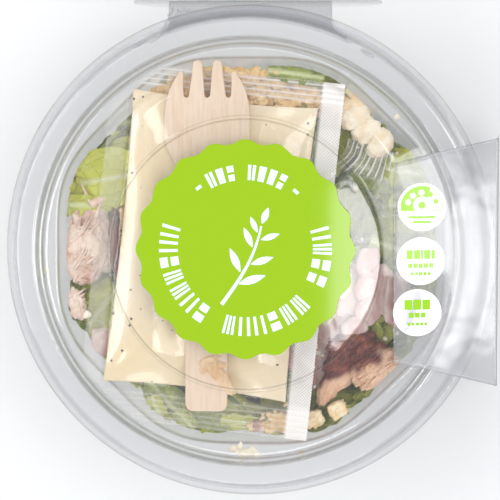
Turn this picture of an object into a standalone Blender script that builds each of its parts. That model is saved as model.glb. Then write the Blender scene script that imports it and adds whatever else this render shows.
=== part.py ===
"""Chicken caesar salad in its shut, clear bowl with a wooden fork, as separate closed solids.

Metres, +Z up. The origin is the centre of the bowl's flat underside. +Y points to the hinge's
tear strip and +X to the strap label.
"""
import math

import bmesh
import bpy
from mathutils import Matrix, Vector, noise
from mathutils.bvhtree import BVHTree

MM = 0.001

# Driving dimensions of the pack.
RIM_RADIUS = 95.0 * MM           # outer edge of the flange
SHEET = 0.6 * MM                 # wall of the formed plastic
NEST_GAP = 0.35 * MM             # clearance between bowl and lid where they nest
TOUCH_GAP = 0.3 * MM             # clearance between pieces that rest on each other
BASE_RADIUS = 50.0 * MM
LEDGE_Z = 50.5 * MM              # the bowl's inner ledge, where its wall ends
WALL_TOP_RADIUS = 76.0 * MM
FLANGE_Z = 49.0 * MM
RIM_TOP_Z = 56.0 * MM
PANEL_Z = 65.7 * MM              # the lid's flat centre
RING_RADIUS = 52.0 * MM          # the step round the lid's centre
LOBES = 8                        # flutes in the bowl's wall
FLUTE_DEPTH = 1.25 * MM
SEGMENTS = 48

# Driving dimensions of what is stuck on, clipped on or packed inside.
LABEL_RADIUS = 41.1 * MM
LABEL_CENTRE = (0.2 * MM, 2.1 * MM)
LABEL_SCALLOPS = 20
SCALLOP_DEPTH = 0.9 * MM
FILM = 0.3 * MM                  # labels
FORK_LENGTH = 136.5 * MM
FORK_THICK = 1.6 * MM
BED_RADIUS = 73.0 * MM           # the salad at its widest, before the wall holds it in
WALL_CLEAR = 0.8 * MM            # between food and the bowl's wall


def clear_scene():
    for obj in list(bpy.data.objects):
        bpy.data.objects.remove(obj, do_unlink=True)


def material(name, colour, roughness, alpha=1.0):
    mat = bpy.data.materials.new(name)
    mat.use_nodes = True
    shader = mat.node_tree.nodes["Principled BSDF"]
    shader.inputs["Base Color"].default_value = (*colour, 1.0)
    shader.inputs["Roughness"].default_value = roughness
    shader.inputs["Metallic"].default_value = 0.0
    shader.inputs["Alpha"].default_value = alpha
    return mat


def add_solid(name, bm, mat, sharp_deg=40.0):
    """Store a bmesh as one named object, outward-facing and smooth where it is round."""
    bmesh.ops.remove_doubles(bm, verts=bm.verts, dist=1e-6)
    bmesh.ops.recalc_face_normals(bm, faces=bm.faces)
    mesh = bpy.data.meshes.new(name)
    bm.to_mesh(mesh)
    bm.free()
    mesh.materials.append(mat)
    mesh.shade_smooth()
    mesh.set_sharp_from_angle(angle=math.radians(sharp_deg))
    obj = bpy.data.objects.new(name, mesh)
    bpy.context.scene.collection.objects.link(obj)
    return obj


def smooth_step(low, high, value):
    t = min(1.0, max(0.0, (value - low) / (high - low)))
    return t * t * (3.0 - 2.0 * t)


# ---------------------------------------------------------------- turned sheet profiles

def rounded(points, radii, steps=1):
    """Replace each inner corner of a (radius, height) polyline with an arc."""
    out = [Vector(points[0])]
    for before, corner, after, radius in zip(points, points[1:], points[2:], radii):
        corner = Vector(corner)
        to_before = (Vector(before) - corner)
        to_after = (Vector(after) - corner)
        half = to_before.angle(to_after) / 2.0
        if radius == 0.0 or half > math.radians(88.0):
            out.append(corner)
            continue
        reach = min(radius / math.tan(half), 0.48 * to_before.length, 0.48 * to_after.length)
        start = corner + to_before.normalized() * reach
        end = corner + to_after.normalized() * reach
        for i in range(steps + 1):
            t = i / steps
            out.append(start * (1 - t) ** 2 + corner * 2 * t * (1 - t) + end * t ** 2)
    out.append(Vector(points[-1]))
    return out


def offset(points, distance):
    """Move a polyline sideways, to its left as it runs outward, with mitred corners."""
    out = []
    for i, point in enumerate(points):
        before = points[max(i - 1, 0)]
        after = points[min(i + 1, len(points) - 1)]
        into = (point - before) if i > 0 else (after - point)
        onward = (after - point) if i < len(points) - 1 else into
        n_in = Vector((-into.y, into.x)).normalized()
        n_out = Vector((-onward.y, onward.x)).normalized()
        mitre = (n_in + n_out).normalized()
        out.append(point + mitre * (distance / max(0.5, mitre.dot(n_in))))
    out[0].x = points[0].x
    return out


def turned_sheet(centre_line, thickness, segments):
    """Turn the closed outline of a sheet about Z into a watertight shell that meets the axis."""
    top = offset(centre_line, thickness / 2)
    under = offset(centre_line, -thickness / 2)
    outline = under + top[::-1]
    bm = bmesh.new()
    verts = [bm.verts.new((p.x, 0.0, p.y)) for p in outline]
    edges = [bm.edges.new(pair) for pair in zip(verts, verts[1:])]
    bmesh.ops.spin(bm, geom=verts + edges, cent=(0, 0, 0), axis=(0, 0, 1),
                   angle=math.tau, steps=segments, use_merge=True)
    bmesh.ops.remove_doubles(bm, verts=bm.verts, dist=1e-6)
    return bm


def bowl_line():
    """Centre line of the bowl's sheet: base, wall, ledge, step, rim, skirt, flange."""
    points = [(0, SHEET / 2), (BASE_RADIUS, SHEET / 2), (WALL_TOP_RADIUS, LEDGE_Z),
              (82.3 * MM, LEDGE_Z), (83.2 * MM, RIM_TOP_Z), (89.6 * MM, RIM_TOP_Z),
              (91.8 * MM, FLANGE_Z), (RIM_RADIUS, FLANGE_Z)]
    radii = [v * MM for v in (5.0, 1.6, 0.8, 1.0, 1.6, 0.9)]
    return [Vector(p) for p in rounded(points, radii)]


def with_wall_rows(line):
    """Add rows up the fluted wall, between its foot and its top, so that it can curve."""
    foot = max(i for i, p in enumerate(line) if p.y < LEDGE_Z / 2)
    rows = [line[foot].lerp(line[foot + 1], t) for t in (0.25, 0.5, 0.75)]
    return line[:foot + 1] + rows + line[foot + 1:]


def flute(radius, height, angle):
    """How far the fluted wall stands out of the plain cone at a place."""
    grows = smooth_step(6 * MM, LEDGE_Z, height)
    fades = 1.0 - smooth_step(77.5 * MM, 81.5 * MM, radius)
    return -FLUTE_DEPTH * grows * fades * math.cos(LOBES * angle)


def inside_bowl(point):
    """Move a point of the food in towards the axis, until it is clear of the bowl's wall."""
    z = min(point.z, 46.5 * MM)
    angle = math.atan2(point.y, point.x)
    cone = BASE_RADIUS + (WALL_TOP_RADIUS - BASE_RADIUS) * z / LEDGE_Z
    limit = cone + flute(cone, z, angle) - SHEET - WALL_CLEAR
    radius = math.hypot(point.x, point.y)
    if radius > limit:
        point.x *= limit / radius
        point.y *= limit / radius


def make_bowl(mat):
    bm = turned_sheet(with_wall_rows(bowl_line()), SHEET, SEGMENTS)
    for v in bm.verts:
        radius = math.hypot(v.co.x, v.co.y)
        if radius > BASE_RADIUS:
            grow = 1.0 + flute(radius, v.co.z, math.atan2(v.co.y, v.co.x)) / radius
            v.co.x *= grow
            v.co.y *= grow
    return add_solid("bowl", bm, mat)


def lid_line():
    """Centre line of the lid's sheet: panel, ring step, dome, groove, rim, skirt, flange."""
    rim_start = 84.0 * MM
    rim = offset([p for p in bowl_line() if p.x > rim_start], SHEET + NEST_GAP)
    groove_z = 53.6 * MM
    rim_z = RIM_TOP_Z + SHEET + NEST_GAP
    points = [(0, PANEL_Z), (RING_RADIUS - 0.7 * MM, PANEL_Z), (RING_RADIUS + 0.5 * MM, 64.3 * MM),
              (67.0 * MM, 61.3 * MM), (78.8 * MM, 57.0 * MM), (80.0 * MM, groove_z),
              (81.5 * MM, groove_z), (82.4 * MM, rim_z), (86.0 * MM, rim_z)]
    radii = [v * MM for v in (0.5, 0.6, 8.0, 1.2, 0.5, 0.5, 1.0)]
    inner = rounded(points, radii)
    return inner[:-1] + [p for p in rim if p.x > 86.0 * MM]


def lid_top(radius):
    """Height of the lid's upper surface over its dome and rim, bridging the narrow groove."""
    knots = [(0.0, 66.0), (51.3, 66.0), (52.5, 64.6), (67.0, 61.9), (79.0, 57.5), (90.0, 57.5),
             (120.0, 57.0)]
    r = radius / MM
    for (r0, z0), (r1, z1) in zip(knots, knots[1:]):
        if r <= r1:
            return (z0 + (z1 - z0) * (r - r0) / (r1 - r0)) * MM
    return knots[-1][1] * MM


NECK_CENTRE = 1.2 * MM
NECK_HALF = 31.0 * MM
NECK_END_Y = 96.3 * MM


def neck_outline():
    """Plan of the web between rim and tear strip: an arc inside the rim and flared sides."""
    inner_radius = 86.2 * MM
    base_half = NECK_HALF + 6.5 * MM
    flare = 6.0 * MM
    spread = math.asin(base_half / inner_radius)
    arc = []
    for i in range(9):
        angle = math.pi / 2 - spread + 2 * spread * i / 8
        arc.append((inner_radius * math.cos(angle), inner_radius * math.sin(angle)))
    left = []
    right = []
    for i in range(4):
        turn = math.radians(30 * i)
        side = NECK_HALF + flare * (1 - math.sin(turn))
        along = 83.0 * MM + flare * (1 - math.cos(turn))
        left.append((NECK_CENTRE - side, along))
        right.append((NECK_CENTRE + side, along))
    top = [(NECK_CENTRE - NECK_HALF, NECK_END_Y), (NECK_CENTRE + NECK_HALF, NECK_END_Y)]
    return arc + left + top + right[::-1]


def extruded(outline, low, high):
    """A flat prism between two heights, from a plan outline."""
    bm = bmesh.new()
    base = bm.faces.new([bm.verts.new((x, y, low)) for x, y in outline])
    grown = bmesh.ops.extrude_face_region(bm, geom=[base])
    lifted = [g for g in grown["geom"] if isinstance(g, bmesh.types.BMVert)]
    bmesh.ops.translate(bm, verts=lifted, vec=(0, 0, high - low))
    bmesh.ops.recalc_face_normals(bm, faces=bm.faces)
    return bm


def make_lid(mat):
    lid = add_solid("lid", turned_sheet(lid_line(), SHEET, SEGMENTS), mat)
    middle = RIM_TOP_Z + SHEET + NEST_GAP
    neck = add_solid("neck_guide", extruded(neck_outline(), middle - 0.22 * MM, middle + 0.22 * MM), mat)
    neck.hide_render = True
    neck.display_type = "WIRE"
    join = lid.modifiers.new("neck", "BOOLEAN")
    join.operation = "UNION"
    join.solver = "EXACT"
    join.object = neck
    return lid


def make_tear_strip(mat):
    """The tab hanging from the neck's end, with round ends, which is torn off to open the pack."""
    half_length = 48.0 * MM
    centre_x = 2.9 * MM
    top_z = RIM_TOP_Z + 1.2 * MM
    height = 21.0 * MM
    lean_deg = 6.3                   # its lower edge hangs in, towards the bowl
    radius = height / 2
    outline = []
    for side in (1, -1):
        for i in range(9):
            turn = side * math.pi / 2 - math.pi * i / 8
            outline.append((centre_x + side * (half_length - radius) + radius * math.cos(turn),
                            radius * math.sin(turn)))
    bm = extruded(outline, 0.0, SHEET)
    lean = Matrix.Rotation(math.radians(90.0 - lean_deg), 4, "X")
    place = Matrix.Translation((0, NECK_END_Y - 0.1 * MM, top_z - radius))
    bmesh.ops.transform(bm, matrix=place @ lean, verts=bm.verts)
    return add_solid("tear_strip", bm, mat)


# ---------------------------------------------------------------- labels

def make_round_label(mat):
    count = LABEL_SCALLOPS * 6
    outline = []
    for i in range(count):
        angle = math.tau * i / count
        radius = LABEL_RADIUS + SCALLOP_DEPTH * math.cos(LABEL_SCALLOPS * angle)
        outline.append((LABEL_CENTRE[0] + radius * math.cos(angle),
                        LABEL_CENTRE[1] + radius * math.sin(angle)))
    low = PANEL_Z + SHEET / 2 + TOUCH_GAP
    return add_solid("label_round", extruded(outline, low, low + FILM), mat)


STRAP_START_X = 56.5 * MM
STRAP_FOLD_X = 95.7 * MM
STRAP_BOTTOM_Z = 17.0 * MM


def strap_width(x):
    """Lowest and highest y of the strap label, which flares towards the rim."""
    t = (x - 75 * MM) / (18 * MM)
    return -45.4 * MM - 4.0 * MM * t, 39.6 * MM + 4.3 * MM * t


def make_strap(mat):
    """Clear label from the dome over the rim and down outside it, as a sheet given thickness."""
    across = 8
    along = 7
    down = 4
    bm = bmesh.new()
    rows = []
    for i in range(along + 1):
        x = STRAP_START_X + (STRAP_FOLD_X - 1.2 * MM - STRAP_START_X) * i / along
        low, high = strap_width(x)
        row = []
        for j in range(across + 1):
            y = low + (high - low) * j / across
            row.append((x, y, lid_top(math.hypot(x, y)) + TOUCH_GAP + FILM / 2))
        rows.append(row)
    low, high = strap_width(STRAP_FOLD_X)
    bend_z = rows[-1][across // 2][2]
    for i in range(1, down + 1):
        t = i / down
        x = STRAP_FOLD_X + 0.2 * MM * (1 - t)
        z = bend_z - 1.2 * MM + (STRAP_BOTTOM_Z - bend_z) * (t - 1 / down) * down / (down - 1)
        rows.append([(x, low + (high - low) * j / across, z) for j in range(across + 1)])
    grid = [[bm.verts.new(p) for p in row] for row in rows]
    for upper, lower in zip(grid, grid[1:]):
        for j in range(across):
            bm.faces.new((upper[j], upper[j + 1], lower[j + 1], lower[j]))
    strap = add_solid("label_strap", bm, mat)
    wall = strap.modifiers.new("film", "SOLIDIFY")
    wall.thickness = FILM
    wall.offset = 0.0
    wall.use_even_offset = True
    return strap


# ---------------------------------------------------------------- fork

FORK_X = -16.2 * MM
FORK_END_Y = -62.0 * MM
FORK_END_Z = 58.4 * MM           # underside of the handle's end
FORK_TILT_DEG = 2.4              # tines lower than the handle's end


def fork_outline():
    """Half widths and tines of a flat pressed-wood fork, tip up +Y, handle end at y = 0."""
    handle = 8.2 * MM
    head = 16.3 * MM
    end = 4.0 * MM
    shoulder_low = 0.70 * FORK_LENGTH
    shoulder_high = 0.80 * FORK_LENGTH
    right = [(handle - end, 0.0), (handle - end * 0.29, end * 0.29), (handle, end)]
    for i in range(1, 6):
        t = i / 5
        right.append((handle + (head - handle) * smooth_step(0, 1, t),
                      shoulder_low + (shoulder_high - shoulder_low) * t))
    right.append((head - 0.3 * MM, 0.89 * FORK_LENGTH))
    return right


def make_fork(mat):
    slot_floor = FORK_LENGTH - 14.5 * MM
    slot_half = 1.35 * MM
    slots = [-8.3 * MM, 0.0, 8.2 * MM]
    tips = [(-14.6, -4.2), (-6.0, 0.0), (4.8, 0.0), (11.6, -4.0)]
    right = fork_outline()
    outline = list(right)
    outline.append((14.2 * MM, FORK_LENGTH - 7.5 * MM))
    for k in range(3, -1, -1):
        tip_x, drop = tips[k]
        tip_y = FORK_LENGTH + drop * MM
        for dx, dy in ((1.4, -1.8), (0.6, -0.3), (-0.6, -0.3), (-1.4, -1.8)):
            outline.append((tip_x * MM + dx * MM, tip_y + dy * MM))
        if k > 0:
            centre = slots[k - 1]
            outline.append((centre + slot_half * 0.9, slot_floor + 1.2 * MM))
            outline.append((centre, slot_floor))
            outline.append((centre - slot_half * 0.9, slot_floor + 1.2 * MM))
    outline.append((-15.6 * MM, FORK_LENGTH - 9.0 * MM))
    outline += [(-x, y) for x, y in reversed(right)]
    bm = extruded(outline, 0.0, FORK_THICK)
    bmesh.ops.triangulate(bm, faces=[f for f in bm.faces if len(f.verts) > 4])
    tilt = Matrix.Rotation(math.radians(-FORK_TILT_DEG), 4, "X")
    place = Matrix.Translation((FORK_X, FORK_END_Y, FORK_END_Z))
    bmesh.ops.transform(bm, matrix=place @ tilt, verts=bm.verts)
    return add_solid("fork", bm, mat)


def fork_floor(y):
    """Height of the fork's underside along the pack."""
    return FORK_END_Z - math.tan(math.radians(FORK_TILT_DEG)) * (y - FORK_END_Y)


# ---------------------------------------------------------------- bags and sachets

def film_height(x, y, height):
    """Height of a film bag's middle surface, bent up over the ledge where it is long enough."""
    radius = math.hypot(x, y)
    over_ledge = LEDGE_Z + 1.4 * MM
    return max(height, over_ledge - 1.2 * max(0.0, 72.6 * MM - radius))


def pillow(name, mat, centre, size, turn_deg, middle, bulge, seal, columns, rows, reach):
    """A filled film bag: flat sealed margins round a pillow that is fat in the middle.

    middle(x, y) is the height of its middle surface, bulge(x, y) its half thickness, seal the
    widths of its (long side, short end) margins, and reach the furthest that it goes out.
    """
    half_w, half_l = size[0] / 2, size[1] / 2
    turn = Matrix.Rotation(math.radians(turn_deg), 4, "Z")
    bm = bmesh.new()
    layers = [[], []]
    for i in range(rows + 1):
        lines = ([], [])
        for j in range(columns + 1):
            u = -1 + 2 * j / columns
            v = -1 + 2 * i / rows
            edge_u = smooth_step(0.0, 0.4 * half_w, (1 - abs(u)) * half_w - seal[0])
            edge_v = smooth_step(0.0, 0.25 * half_l, (1 - abs(v)) * half_l - seal[1])
            pull = 1.0 - 0.04 * (1 - v * v) * abs(u)
            flat = turn @ Vector((u * half_w * pull, v * half_l, 0))
            x, y = centre[0] + flat.x, centre[1] + flat.y
            shrink = min(1.0, reach / max(math.hypot(x, y), MM))
            x, y = x * shrink, y * shrink
            thick = 0.25 * MM + bulge(x, y) * math.sqrt(edge_u * edge_v)
            height = film_height(x, y, middle(x, y))
            lines[0].append(bm.verts.new((x, y, height + thick)))
            lines[1].append(bm.verts.new((x, y, height - thick)))
        layers[0].append(lines[0])
        layers[1].append(lines[1])
    for grid, upward in zip(layers, (True, False)):
        for a, b in zip(grid, grid[1:]):
            for j in range(columns):
                quad = (a[j], a[j + 1], b[j + 1], b[j])
                bm.faces.new(quad if upward else quad[::-1])
    rims = [g[0] + [r[-1] for r in g[1:]] + g[-1][-2::-1] + [r[0] for r in g[-2:0:-1]] for g in layers]
    for k in range(len(rims[0])):
        n = (k + 1) % len(rims[0])
        bm.faces.new((rims[0][k], rims[1][k], rims[1][n], rims[0][n]))
    return add_solid(name, bm, mat)


def make_sachet(mat):
    """One wide dressing sachet, dented along its middle where the fork is pressed into it."""
    full = 4.8 * MM
    dented = 2.7 * MM

    def bulge(x, y):
        half = 16.3 * MM if y > 30 * MM else 8.2 * MM
        beside = abs(x - FORK_X) - half
        return dented + (full - dented) * smooth_step(1.0 * MM, 14.0 * MM, beside)

    def middle(x, y):
        return fork_floor(y) - TOUCH_GAP - 0.5 * MM - dented

    pillow("dressing_sachet", mat, (-14.8 * MM, 0.6 * MM), (90.0 * MM, 138.0 * MM), -6.0,
           middle, bulge, (9.0 * MM, 11.0 * MM), 16, 18, 78.0 * MM)


def make_topping_bag(mat):
    """Clear bag of toppings on the right, partly under the sachet, higher at its outer side."""
    def bulge(x, y):
        return 4.0 * MM

    def leaning(x, y):
        return (39.6 + 0.26 * (x / MM - 28.0)) * MM

    pillow("topping_bag", mat, (28.0 * MM, -7.5 * MM), (33.0 * MM, 104.0 * MM), -17.0,
           leaning, bulge, (4.0 * MM, 8.0 * MM), 8, 14, 67.0 * MM)


# ---------------------------------------------------------------- loose food

def lump(name, mat, centre, size, turn_deg, seed, detail, rough=0.16):
    """An uneven food piece: a sphere or cube stretched to its size and pushed about by noise."""
    bm = bmesh.new()
    if detail == "torn":
        bmesh.ops.create_icosphere(bm, subdivisions=3, radius=1.0)
    else:
        bmesh.ops.create_cube(bm, size=1.75)
        bmesh.ops.subdivide_edges(bm, edges=bm.edges, cuts=2, use_grid_fill=True)
        for v in bm.verts:
            v.co = v.co.lerp(v.co.normalized() * 1.05, 0.45)
    drift = Vector((seed * 7.3, seed * 3.1, seed * 5.7))
    for v in bm.verts:
        push = noise.noise(v.co * 1.4 + drift) + 0.5 * noise.noise(v.co * 3.1 + drift)
        v.co *= 1.0 + rough * push
    shape = (Matrix.Translation(centre) @ Matrix.Rotation(math.radians(turn_deg), 4, "Z")
             @ Matrix.Diagonal((size[0] / 2, size[1] / 2, size[2] / 2, 1.0)))
    bmesh.ops.transform(bm, matrix=shape, verts=bm.verts)
    for v in bm.verts:
        inside_bowl(v.co)
    return add_solid(name, bm, mat, sharp_deg=80.0)


# name, (x, y, z) centre, (x, y, z) size, turn about Z; all in millimetres and degrees
CHICKEN = [
    ("chicken_left", (-64.2, 3.5, 46.9), (18.0, 35.0, 11.0), 4.0),
    ("chicken_tail", (-67.6, -21.0, 50.0), (7.0, 13.0, 6.0), 14.0),
    ("chicken_right", (48.5, -44.5, 49.0), (16.5, 21.5, 10.5), -50.0),
]
BACON = [
    ("bacon_left", (-57.5, -36.5, 45.5), (8.0, 12.0, 4.5), 30.0),
    ("bacon_right", (57.0, -18.5, 48.0), (9.0, 25.0, 6.0), -10.0),
    ("bacon_bottom", (3.6, -68.6, 47.5), (6.0, 5.5, 4.5), 0.0),
]
CROUTONS = [
    ("crouton_gold", (12.6, -67.4, 46.2), (10.5, 9.5, 7.5), 20.0),
    ("crouton_pale_a", (25.6, -65.2, 48.2), (7.5, 7.0, 6.5), -15.0),
    ("crouton_pale_b", (34.9, -61.8, 49.0), (8.0, 6.5, 6.0), 35.0),
    ("crouton_top_a", (-19.5, 66.2, 43.0), (12.0, 8.0, 7.0), 10.0),
    ("crouton_top_b", (-5.0, 67.6, 43.4), (12.0, 7.0, 6.6), -6.0),
    ("crouton_upper_right", (40.5, 55.8, 44.4), (12.5, 9.0, 7.0), -35.0),
]


def make_loose_food(chicken, bacon, crouton):
    kinds = ((CHICKEN, chicken, "torn", 0.2), (BACON, bacon, "cut", 0.14), (CROUTONS, crouton, "cut", 0.16))
    for pieces, mat, detail, rough in kinds:
        for k, (name, centre, size, turn) in enumerate(pieces):
            place = [c * MM for c in centre]
            lump(name, mat, place, [s * MM for s in size], turn, k + 1.0, detail, rough)


def bed_natural_height(x, y):
    """The salad's own uneven top, lower in the middle where the sachets press on it."""
    radius = math.hypot(x, y)
    edge = smooth_step(0.45 * BED_RADIUS, 0.85 * BED_RADIUS, radius)
    wave = noise.noise(Vector((x * 55, y * 55, 1.7))) + 0.5 * noise.noise(Vector((x * 130, y * 130, 4.2)))
    return (42.5 + 4.0 * edge) * MM + 2.2 * MM * wave


def lowest_above(trees, x, y):
    """Underside height of the lowest piece that lies over a place, or a large number."""
    lowest = 1.0
    for tree in trees:
        hit, _, _, _ = tree.ray_cast(Vector((x, y, 0.0)), Vector((0, 0, 1)))
        if hit:
            lowest = min(lowest, hit.z)
    return lowest


def make_bed(mat):
    """The mixed leaves and cut pieces as one solid that fills the bowl under everything else."""
    depsgraph = bpy.context.evaluated_depsgraph_get()
    skip = {"bowl", "lid", "neck_guide", "tear_strip", "label_round", "label_strap", "fork"}
    trees = [BVHTree.FromObject(obj, depsgraph) for obj in bpy.data.objects if obj.name not in skip]
    foot_radius = BASE_RADIUS - 3.0 * MM
    foot_z = SHEET + TOUCH_GAP + 0.1 * MM
    rings = 14
    sectors = 60
    clear = 0.9 * MM
    probes = [Vector((0, 0))] + [Vector((reach * math.cos(k * math.pi / 6), reach * math.sin(k * math.pi / 6)))
                                 for reach in (2.8 * MM, 5.6 * MM) for k in range(12)]
    bm = bmesh.new()
    top = [[None] * sectors for _ in range(rings + 1)]

    def top_height(x, y):
        covered = min(lowest_above(trees, x + p.x, y + p.y) for p in probes)
        return min(bed_natural_height(x, y), covered - clear)

    for i in range(1, rings + 1):
        for j in range(sectors):
            angle = math.tau * j / sectors
            radius = BED_RADIUS * i / rings
            x, y = radius * math.cos(angle), radius * math.sin(angle)
            place = Vector((x, y, top_height(x, y)))
            inside_bowl(place)
            top[i][j] = bm.verts.new(place)
    crown = bm.verts.new((0, 0, top_height(0, 0)))
    lower = []
    for level in (0.6, 0.25, 0.0):
        ring = []
        for j in range(sectors):
            outer = top[rings][j].co
            z = foot_z + (outer.z - foot_z) * level
            scale = 1.0 if level > 0 else foot_radius / math.hypot(outer.x, outer.y)
            place = Vector((outer.x * scale, outer.y * scale, z))
            inside_bowl(place)
            ring.append(bm.verts.new(place))
        lower.append(ring)
    bands = top[1:] + lower
    for inner, outer in zip(bands, bands[1:]):
        for j in range(sectors):
            n = (j + 1) % sectors
            bm.faces.new((inner[j], outer[j], outer[n], inner[n]))
    for j in range(sectors):
        bm.faces.new((crown, top[1][j], top[1][(j + 1) % sectors]))
    bm.faces.new(list(reversed(lower[-1])))
    return add_solid("salad_bed", bm, mat, sharp_deg=70.0)


def main():
    clear_scene()
    clear = material("clear_plastic", (0.80, 0.81, 0.83), 0.05, alpha=0.3)
    label_film = material("label_film", (0.86, 0.87, 0.90), 0.12, alpha=0.5)
    label_green = material("label_green", (0.36, 0.66, 0.02), 0.35)
    birch = material("birch_wood", (0.94, 0.78, 0.62), 0.55)
    dressing = material("dressing_sachet", (0.96, 0.85, 0.62), 0.2)
    film_bag = material("topping_film", (0.86, 0.76, 0.74), 0.15, alpha=0.8)
    chicken = material("chicken_meat", (0.80, 0.58, 0.45), 0.5)
    bacon = material("bacon_meat", (0.72, 0.36, 0.34), 0.4)
    crouton = material("crouton_bread", (0.86, 0.62, 0.30), 0.75)
    leaves = material("salad_leaves", (0.32, 0.46, 0.10), 0.45)
    make_bowl(clear)
    make_lid(clear)
    make_tear_strip(clear)
    make_round_label(label_green)
    make_strap(label_film)
    make_fork(birch)
    make_sachet(dressing)
    make_topping_bag(film_bag)
    make_loose_food(chicken, bacon, crouton)
    make_bed(leaves)


main()
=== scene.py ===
"""Chicken caesar salad shut in its clear bowl, with dressing sachet, toppings, labels and fork."""
import math
import random

import bmesh
import bpy
from bpy.props import FloatProperty, FloatVectorProperty, IntProperty, PointerProperty
from mathutils import Matrix, Vector, noise
from mathutils.bvhtree import BVHTree


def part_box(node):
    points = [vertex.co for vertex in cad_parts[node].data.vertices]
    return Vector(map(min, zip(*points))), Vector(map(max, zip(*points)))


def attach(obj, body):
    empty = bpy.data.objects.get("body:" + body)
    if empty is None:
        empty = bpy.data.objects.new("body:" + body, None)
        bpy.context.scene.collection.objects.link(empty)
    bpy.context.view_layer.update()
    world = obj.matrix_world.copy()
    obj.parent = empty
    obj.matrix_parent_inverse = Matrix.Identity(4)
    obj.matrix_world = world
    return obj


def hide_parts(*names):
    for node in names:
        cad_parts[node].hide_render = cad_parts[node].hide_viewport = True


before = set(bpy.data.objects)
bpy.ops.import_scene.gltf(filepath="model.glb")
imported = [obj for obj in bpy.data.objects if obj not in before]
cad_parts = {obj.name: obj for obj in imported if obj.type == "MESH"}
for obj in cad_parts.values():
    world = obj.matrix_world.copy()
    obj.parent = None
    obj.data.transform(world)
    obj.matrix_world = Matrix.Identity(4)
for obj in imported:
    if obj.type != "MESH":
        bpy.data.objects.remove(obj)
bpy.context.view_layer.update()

bl_info = {
    "name": "Packed caesar salad bowl",
    "version": (1, 0, 0),
    "blender": (4, 5, 0),
    "location": "3D View > Sidebar > Salad bowl",
    "description": "Makes a clear lidded bowl of chicken caesar salad piece by piece",
    "category": "Add Mesh",
}

MM = 0.001

# ---------------------------------------------------------------- settings


class PackSettings(bpy.types.PropertyGroup):
    """Sizes of the formed plastic bowl, its lid and its labels."""
    rim_radius: FloatProperty(name="Rim radius", description="Outer edge of the flange",
                              default=0.095, unit="LENGTH")
    sheet: FloatProperty(name="Sheet", description="Wall of the formed plastic",
                         default=0.0006, unit="LENGTH")
    base_radius: FloatProperty(name="Base radius", description="Radius of the flat underside",
                               default=0.050, unit="LENGTH")
    ledge_z: FloatProperty(name="Ledge height", description="Height of the bowl's inner ledge",
                           default=0.0505, unit="LENGTH")
    wall_top: FloatProperty(name="Wall top radius", description="Where the wall meets the ledge",
                            default=0.076, unit="LENGTH")
    panel_z: FloatProperty(name="Lid height", description="Height of the lid's flat centre",
                           default=0.0657, unit="LENGTH")
    ring_radius: FloatProperty(name="Ring radius", description="Step round the lid's centre",
                               default=0.052, unit="LENGTH")
    flute_depth: FloatProperty(name="Flute depth", description="How far the wall's lobes swing",
                               default=0.00125, unit="LENGTH")
    lobes: IntProperty(name="Lobes", description="Flutes round the bowl's wall", default=8)
    segments: IntProperty(name="Segments", description="Steps round the turned plastic",
                          default=256)
    tint: FloatVectorProperty(name="Plastic tint", description="What one face lets through",
                              subtype="COLOR", default=(0.984, 0.984, 0.985))
    # the rim's greyer let-through is partly painted shade, for the shade seen through the rim
    rim_shade_tint: FloatVectorProperty(name="Rim tint", description="Greyer let-through of the rim",
                                  subtype="COLOR", default=(0.965, 0.965, 0.968))
    label_green: FloatVectorProperty(name="Label green", description="Round label's colour",
                                     subtype="COLOR", default=(0.28, 0.465, 0.001))
    print_pale: FloatVectorProperty(name="Pale print", description="Marks on the round label",
                                    subtype="COLOR", default=(0.72, 0.86, 0.94))


class FoodSettings(bpy.types.PropertyGroup):
    """Colours and numbers of the salad and what is packed with it."""
    cream: FloatVectorProperty(name="Dressing", description="Colour of the dressing",
                               subtype="COLOR", default=(0.89, 0.72, 0.44))
    leaf_light: FloatVectorProperty(name="Light leaf", description="Colour between the veins",
                                    subtype="COLOR", default=(0.50, 0.51, 0.04))
    leaf_dark: FloatVectorProperty(name="Dark leaf", description="Colour of the darkest leaves",
                                   subtype="COLOR", default=(0.12, 0.175, 0.02))
    shreds: IntProperty(name="Leaf pieces", description="Leaf pieces laid over the salad",
                        default=330)
    seed: IntProperty(name="Seed", description="Start of the random draws", default=11)


class StageSettings(bpy.types.PropertyGroup):
    """Camera, lights and floor."""
    distance: FloatProperty(name="Camera distance", description="From the rim to the camera",
                            default=0.90, unit="LENGTH")
    lens: FloatProperty(name="Lens", description="Focal length in millimetres", default=167.4)
    lean_x: FloatProperty(name="Lean to the right", description="Sideways part of the view",
                          default=0.10)
    lean_y: FloatProperty(name="Lean to the hinge", description="Lengthwise part of the view",
                          default=0.085)
    floor: FloatVectorProperty(name="Floor", description="Colour of the floor",
                               subtype="COLOR", default=(0.75, 0.75, 0.75))


# ---------------------------------------------------------------- shared helpers

def smooth_step(low, high, value):
    """Ease from 0 to 1 between two values."""
    t = min(1.0, max(0.0, (value - low) / (high - low)))
    return t * t * (3.0 - 2.0 * t)


def lerp(a, b, t):
    """Go a share of the way from a to b."""
    return a + (b - a) * t


def finish_piece(name, bm, mat, replaced=(), sharp_deg=40.0, recalc=True):
    """Store a bmesh as a piece that rides on the pack and may stand for CAD nodes."""
    if recalc:
        bmesh.ops.recalc_face_normals(bm, faces=bm.faces)
    mesh = bpy.data.meshes.new(name)
    bm.to_mesh(mesh)
    bm.free()
    mesh.materials.append(mat)
    mesh.shade_smooth()
    mesh.set_sharp_from_angle(angle=math.radians(sharp_deg))
    obj = bpy.data.objects.new(name, mesh)
    bpy.context.scene.collection.objects.link(obj)
    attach(obj, "root")
    if replaced:
        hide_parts(*replaced)
    return obj


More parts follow.
